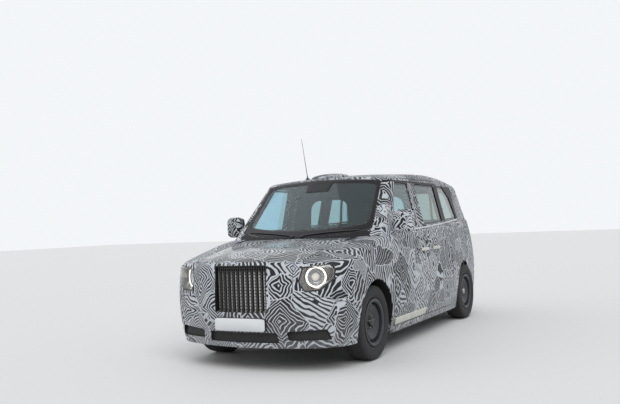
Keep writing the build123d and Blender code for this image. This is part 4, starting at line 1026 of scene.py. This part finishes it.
# %% Mesh panels
def moulded_mesh():
    """Cells as the product of two waves, across and upwards."""
    f = Finish("intake_mesh", (0.012, 0.012, 0.013), 0.5)
    _, y, z = f.split(f.place)
    cells = f.times(f.wave(y, 0.022), f.wave(z, 0.016))
    f.colour(f.mix(f.above(cells, 0.15, 0.2), (0.004, 0.004, 0.004), (0.030, 0.030, 0.032)))
    f.roughness(f.noise(30.0), 0.4, 0.7)
    f.bump(cells, 0.003, 0.8)
    return f.material


INTAKES = {
    "centre": (-0.375, 0.375, 0.252, 0.362),
    "left": (0.420, 0.795, 0.272, 0.388),
    "right": (-0.795, -0.420, 0.272, 0.388),
}
mesh_finish = moulded_mesh()
for name, (y0, y1, z0, z1) in INTAKES.items():
    y, z = np.meshgrid(np.linspace(y0, y1, 31), np.linspace(z0, z1, 7))
    x = np.broadcast_to(reach("front_bumper", 0, y[0], np.full(31, 0.402), 1), y.shape) - 0.045
    add_sheet("intake_mesh_" + name, np.stack([x, y, z], axis=-1), "body", mesh_finish, 0.004)
print("mesh in", len(INTAKES), "openings")

# %% [markdown]
# ## Padded seats
#
# A real seat pad is foam under a stretched cover: its faces swell, its edges stay round, and the
# seams pull it in. Each pad starts as a rounded box, is cut into even small faces, and is blown
# up a little by Blender's cloth simulation with an inner pressure. How far a point may move is
# capped. Seams are pressed in afterwards along straight lines.


# %% Swell a box
def rounded_box(low, high, power=7.0, rows=25, columns=48):
    """A superellipsoid: |x|^p + |y|^p + |z|^p = 1 over latitude and longitude, scaled to the box."""
    u = np.linspace(-np.pi / 2 + 0.02, np.pi / 2 - 0.02, rows)[:, None]
    v = np.linspace(0, 2 * np.pi, columns, endpoint=False)[None]
    aim = np.stack([np.cos(u) * np.cos(v), np.cos(u) * np.sin(v), np.sin(u) + 0 * v], axis=-1)
    aim /= (np.abs(aim) ** power).sum(axis=-1, keepdims=True) ** (1 / power)
    return (low + high) / 2 + aim * (high - low) / 2


def evaluated(piece):
    """A fresh mesh of the piece with its modifiers applied."""
    graph = bpy.context.evaluated_depsgraph_get()
    return bpy.data.meshes.new_from_object(piece.evaluated_get(graph))


def points_of(mesh):
    flat = np.empty(len(mesh.vertices) * 3)
    mesh.vertices.foreach_get("co", flat)
    return flat.reshape(-1, 3)


def swell(piece, voxel, cap, pressure=4.0):
    """Even small faces, then cloth under pressure; no point moves further than the cap."""
    even = piece.modifiers.new("even", "REMESH")
    even.mode, even.voxel_size = "VOXEL", voxel
    mesh = evaluated(piece)
    piece.modifiers.clear()
    old, piece.data = piece.data, mesh
    bpy.data.meshes.remove(old)
    start = points_of(mesh)
    cover = piece.modifiers.new("cover", "CLOTH").settings
    cover.use_pressure = True
    cover.uniform_pressure_force = pressure
    cover.effector_weights.gravity = 0
    cover.quality = 4
    for step in range(1, 21):
        bpy.context.scene.frame_set(step)
    move = points_of(evaluated(piece)) - start
    piece.modifiers.clear()
    bpy.context.scene.frame_set(1)
    far = np.linalg.norm(move, axis=1, keepdims=True)
    mesh.vertices.foreach_set("co", (start + move * np.minimum(1, cap / np.maximum(far, 1e-9))).ravel())
    mesh.update()


# %% Seams, and a whole pad
def press_seams(piece, axis, places, width=0.007, depth=0.007):
    """Moves points against their normals by a bell curve of their distance from each seam."""
    mesh = piece.data
    at = points_of(mesh)
    normals = np.empty(at.size)
    mesh.vertices.foreach_get("normal", normals)
    press = sum(np.exp(-(((at[:, axis] - place) / width) ** 2)) for place in places)
    at -= normals.reshape(-1, 3) * depth * np.minimum(press, 1)[:, None]
    mesh.vertices.foreach_set("co", at.ravel())
    mesh.update()


def pad(name, low, high, lean, body, node, voxel=0.010, cap=0.022, seams=()):
    """A pad in a box that leans back: each point's X shifts with its height over the box's foot."""
    low, high = np.array(low), np.array(high)
    inset = np.minimum(0.012, (high - low) * 0.12)
    grid = rounded_box(low + inset, high - inset)
    grid[..., 0] += lean * (grid[..., 2] - low[2])
    piece = add_solid(name, grid, body, SEAT_CLOTH)
    swell(piece, voxel, cap)
    for axis, places in seams:
        press_seams(piece, axis, places)
    piece.data.polygons.foreach_set("use_smooth", [True] * len(piece.data.polygons))
    soft = piece.modifiers.new("smooth", "SUBSURF")
    soft.levels = soft.render_levels = 1
    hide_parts(node)


print("ready to make pads")

# %% [markdown]
# ## The driver's seat
#
# A cushion, a leaning back and a headrest on two posts stand on a plastic base. The base is a
# stack of copies of one rounded outline, each at its own height and scale.


# %% Driver's seat
def stacked(outline, centre, levels, axis):
    """Copies of a flat outline, one per level: each is scaled and stands at its place on the axis."""
    at, scale = np.array(levels, float).T
    grid = np.empty((len(at), len(outline), 3))
    grid[..., axis] = at[:, None]
    flat = [k for k in range(3) if k != axis]
    grid[..., flat] = np.asarray(centre) + scale[:, None, None] * outline
    return grid


DRIVER_Y = 0.385
levels = [(0.342, 1.0), (0.36, 1.04), (0.46, 0.98), (0.565, 1.05)]
base = stacked(rounded(40, 0.36, 0.34, 6.0), (0.31, DRIVER_Y), levels, 2)
add_solid("driver_base", base, "body", CABIN_PLASTIC)
pad("driver_cushion", (0.06, 0.148, 0.56), (0.56, 0.622, 0.69), 0.0, "body", "driver_seat", seams=[(1, (0.24, 0.53))])
pad("driver_back", (0.045, 0.158, 0.66), (0.165, 0.612, 1.24), -0.208, "body", "driver_seat",
    seams=[(1, (0.245, 0.525)), (2, (1.00,))])
pad("driver_head", (-0.065, 0.272, 1.262), (0.012, 0.498, 1.42), -0.06, "body", "driver_seat", voxel=0.008, cap=0.010)
post = np.array([(-0.022, DRIVER_Y, 1.20), (-0.024, DRIVER_Y, 1.25), (-0.027, DRIVER_Y, 1.30)])
posts = [sweep(post + (0, dy, 0), rounded(16, 0.012, 0.012, 2.0), (0, 1, 0)) for dy in (-0.05, 0.05)]
add_solids("driver_head_posts", posts, "body", BRIGHT_TRIM)
print("driver's seat at y", DRIVER_Y)

# %% [markdown]
# ## The passengers' seats
#
# A bench stands across the back, and three seats tip up against the partition. A tip-up seat is
# a pad on a plastic tray, with ears that turn on a pin, and all of it rides on the seat's joint.

# %% Bench and tip-up seats
pad("bench_cushion", (-1.555, -0.595, 0.562), (-1.045, 0.595, 0.758), 0.0, "body", "rear_bench", voxel=0.014,
    seams=[(1, (-0.2, 0.2))])
pad("bench_back", (-1.565, -0.595, 0.735), (-1.452, 0.595, 1.295), -0.241, "body", "rear_bench", voxel=0.014,
    seams=[(1, (-0.2, 0.2)), (2, (1.10,))])
TRAY_LEVELS = [(-0.194, 0.97), (-0.197, 1.0), (-0.207, 1.0), (-0.210, 0.975)]
PIN_X, PIN_Z, PIN_HALF = -0.17, 0.70, 0.217
for word, y in (("left", 0.48), ("centre", 0.0), ("right", -0.48)):
    node = "jump_seat_" + word
    pad(node + "_pad", (-0.193, y - 0.193, 0.722), (-0.155, y + 0.193, 1.074), 0.0, node, node, cap=0.006,
        seams=[(1, (y - 0.12, y + 0.12))])
    tray = stacked(rounded(64, 0.40, 0.375, 9.0), (y, 0.890), TRAY_LEVELS, 0)
    add_solid(node + "_tray", tray, node, CABIN_PLASTIC)
    line = np.array([(PIN_X, y - PIN_HALF, PIN_Z), (PIN_X, y, PIN_Z), (PIN_X, y + PIN_HALF, PIN_Z)])
    add_solid(node + "_pin", sweep(line, rounded(20, 0.0155, 0.0155, 2.0), (1, 0, 0)), node, AXLE_STEEL)
    line = np.array([(PIN_X, y, 0.694), (PIN_X, y, 0.715), (-0.185, y, 0.745)])
    ears = [sweep(line + (0, s * 0.185, 0), rounded(16, 0.026, 0.020, 4.0), (0, 1, 0)) for s in (-1, 1)]
    add_solids(node + "_ears", ears, node, CABIN_PLASTIC)
print("bench and three tip-up seats")

# %% [markdown]
# ## The dashboard
#
# In front of the driver are a hooded instrument panel and a tall touch screen, and four round
# vents line the dashboard's face. The hood is a shell over a half ellipse, the vents are lathe
# shapes with slats.

# %% Screen, hood and instruments
SCREEN_DARK = grained("screen_dark", (0.010, 0.012, 0.016), 0.10, 900.0, 0.00005)
dash_x = float(reach("dashboard", 0, np.zeros(1), np.full(1, 0.90), -1)[0])
levels = [(dash_x + 0.004, 1.0), (dash_x - 0.010, 1.0), (dash_x - 0.014, 0.97)]
screen = stacked(rounded(80, 0.19, 0.235, 12.0), (0.02, 0.905), levels, 0)
add_solid("touch_screen", screen, "body", SCREEN_DARK)
t = np.linspace(0, math.pi, 33)[:, None]
half, rise = np.array([0.165, 0.165, 0.150, 0.150]), np.array([0.075, 0.075, 0.062, 0.062])
hood = np.stack([
    np.broadcast_to(dash_x + np.array([0.045, -0.030, -0.030, 0.040]), (33, 4)),
    DRIVER_Y + half * np.cos(t),
    0.985 + rise * np.sin(t) + np.array([0, 0.004, 0.004, 0]),
], axis=-1)
add_solid("instrument_hood", hood, "body", CABIN_PLASTIC)
levels = [(dash_x + 0.004, 1.0), (dash_x - 0.004, 1.0), (dash_x - 0.007, 0.96)]
panel = stacked(rounded(64, 0.27, 0.085, 5.0), (DRIVER_Y, 1.000), levels, 0)
add_solid("instrument_panel", panel, "body", SCREEN_DARK)
print("dashboard face at x", round(dash_x, 3))

# %% Air vents
VENT_Z = 0.915
VENT_RING = [(0.026, -0.004), (0.040, -0.004), (0.044, 0.002), (0.040, 0.008), (0.034, 0.007), (0.030, -0.002)]
for number, y in enumerate((-0.66, -0.20, 0.185, 0.66)):
    slats = []
    for dz, half in ((-0.015, 0.026), (0.0, 0.031), (0.015, 0.026)):
        path = [(dash_x - 0.003, y - half), (dash_x - 0.004, y), (dash_x - 0.003, y + half)]
        path = np.array([(*place, VENT_Z + dz) for place in path])
        slats.append(sweep(path, rounded(8, 0.0035, 0.0035, 2.0), (1, 0, 0)))
    add_ring(f"vent_ring_{number}", turned(VENT_RING, (dash_x, y, VENT_Z), (-1, 0, 0), 48), "body", BRIGHT_TRIM)
    add_solids(f"vent_slats_{number}", slats, "body", TRIM_BLACK)
print("four vents")

# %% [markdown]
# ## Grab rails and the inner mirror
#
# Bright yellow rails help passengers in and are easy to see. They are bent tubes with a bend at
# each end, and stand inside the rear doors and on the partition. A small mirror hangs behind the
# windscreen's patch.

# %% Grab rails
DOOR_RAIL = [(-1.010, 0.690, 1.262), (-1.000, 0.640, 1.285), (-1.000, 0.628, 1.40), (-1.010, 0.618, 1.55),
             (-1.015, 0.600, 1.635), (-1.020, 0.628, 1.665)]
PARTITION_RAIL = [(-0.128, 0.700, 1.00), (-0.165, 0.700, 1.03), (-0.170, 0.700, 1.25), (-0.165, 0.695, 1.47),
                  (-0.128, 0.690, 1.50)]
for side, word in SIDES:
    for name, points, size, across in (
        ("door_rail_", DOOR_RAIL, 0.030, (1, 0, 0)), ("partition_rail_", PARTITION_RAIL, 0.028, (0, 1, 0)),
    ):
        route = smooth_path(np.array(points) * (1, side, 1), 33)
        add_solid(name + word, sweep(route, rounded(20, size, size, 2.0), across), "body", RAIL_YELLOW)
print("four yellow rails")

# %% Inner mirror
HEAD_LEVELS = [(0.700, 0.93), (0.703, 1.0), (0.716, 0.98), (0.727, 0.72), (0.731, 0.40)]
head = stacked(rounded(56, 0.230, 0.062, 5.0), (0, 1.600), HEAD_LEVELS, 0)
add_solid("inner_mirror", head, "body", TRIM_BLACK)
board("inner_mirror_glass", (0.7005, 0, 1.600), (-1, 0, 0), (0.216, 0.050), "body", MIRROR_GLASS, 0.0015, 5.0)
stalk = smooth_path([(0.727, 0, 1.612), (0.755, 0, 1.640), (0.778, 0, 1.672)], 9)
add_solid("inner_mirror_stalk", sweep(stalk, rounded(16, 0.020, 0.020, 2.0), (0, 1, 0)), "body", TRIM_BLACK)
print("inner mirror")

# %% [markdown]
# ## Studio
#
# A plain pale floor and two broad suns, the stronger from the front left, model the shapes softly
# and keep the floor evenly lit up to the horizon. Camera, glossy and transmission rays see a white
# background; diffuse light comes from the dimmer world behind it.

# %% The floor
FLOOR_HALF = 60.0
floor = bpy.data.meshes.new("studio_floor")
corners = [(a * FLOOR_HALF, b * FLOOR_HALF, 0) for a, b in ((-1, -1), (1, -1), (1, 1), (-1, 1))]
floor.from_pydata(corners, [], [(0, 1, 2, 3)])
floor.materials.append(grained("studio_floor", (0.80, 0.80, 0.80), 0.7, 40.0, 0.0001, 0.01))
floor_piece = bpy.data.objects.new("studio_floor", floor)
bpy.context.scene.collection.objects.link(floor_piece)
print("floor", 2 * FLOOR_HALF, "metres square")

# %% The world
world = bpy.data.worlds.new("world")
bpy.context.scene.world = world
world.use_nodes = True
tree = world.node_tree
back = tree.nodes["Background"]
back.inputs["Color"].default_value = (0.90, 0.92, 0.94, 1)
rays = tree.nodes.new("ShaderNodeLightPath")
seen = rays.outputs["Is Camera Ray"]
for kind in ("Is Glossy Ray", "Is Transmission Ray"):
    either = tree.nodes.new("ShaderNodeMath")
    either.operation, either.use_clamp = "ADD", True
    tree.links.new(seen, either.inputs[0])
    tree.links.new(rays.outputs[kind], either.inputs[1])
    seen = either.outputs[0]
level = tree.nodes.new("ShaderNodeMapRange")
level.inputs["To Min"].default_value = 0.50
level.inputs["To Max"].default_value = 1.0
tree.links.new(seen, level.inputs["Value"])
tree.links.new(level.outputs[0], back.inputs["Strength"])
print("white to the eye, half as strong as a light")


# %% Two soft suns
def soft_sun(name, at, strength, spread):
    """A broad sun that shines from a direction towards the origin."""
    data = bpy.data.lights.new(name, "SUN")
    data.energy, data.angle = strength, math.radians(spread)
    lamp = bpy.data.objects.new(name, data)
    bpy.context.scene.collection.objects.link(lamp)
    lamp.location = at
    lamp.rotation_euler = (-Vector(at)).to_track_quat("-Z", "Y").to_euler()


soft_sun("key", (5.0, 4.0, 7.0), 1.5, 50)
soft_sun("fill", (4.0, -6.0, 6.0), 0.5, 70)
bpy.context.scene.view_settings.view_transform = "Standard"
print("key and fill")
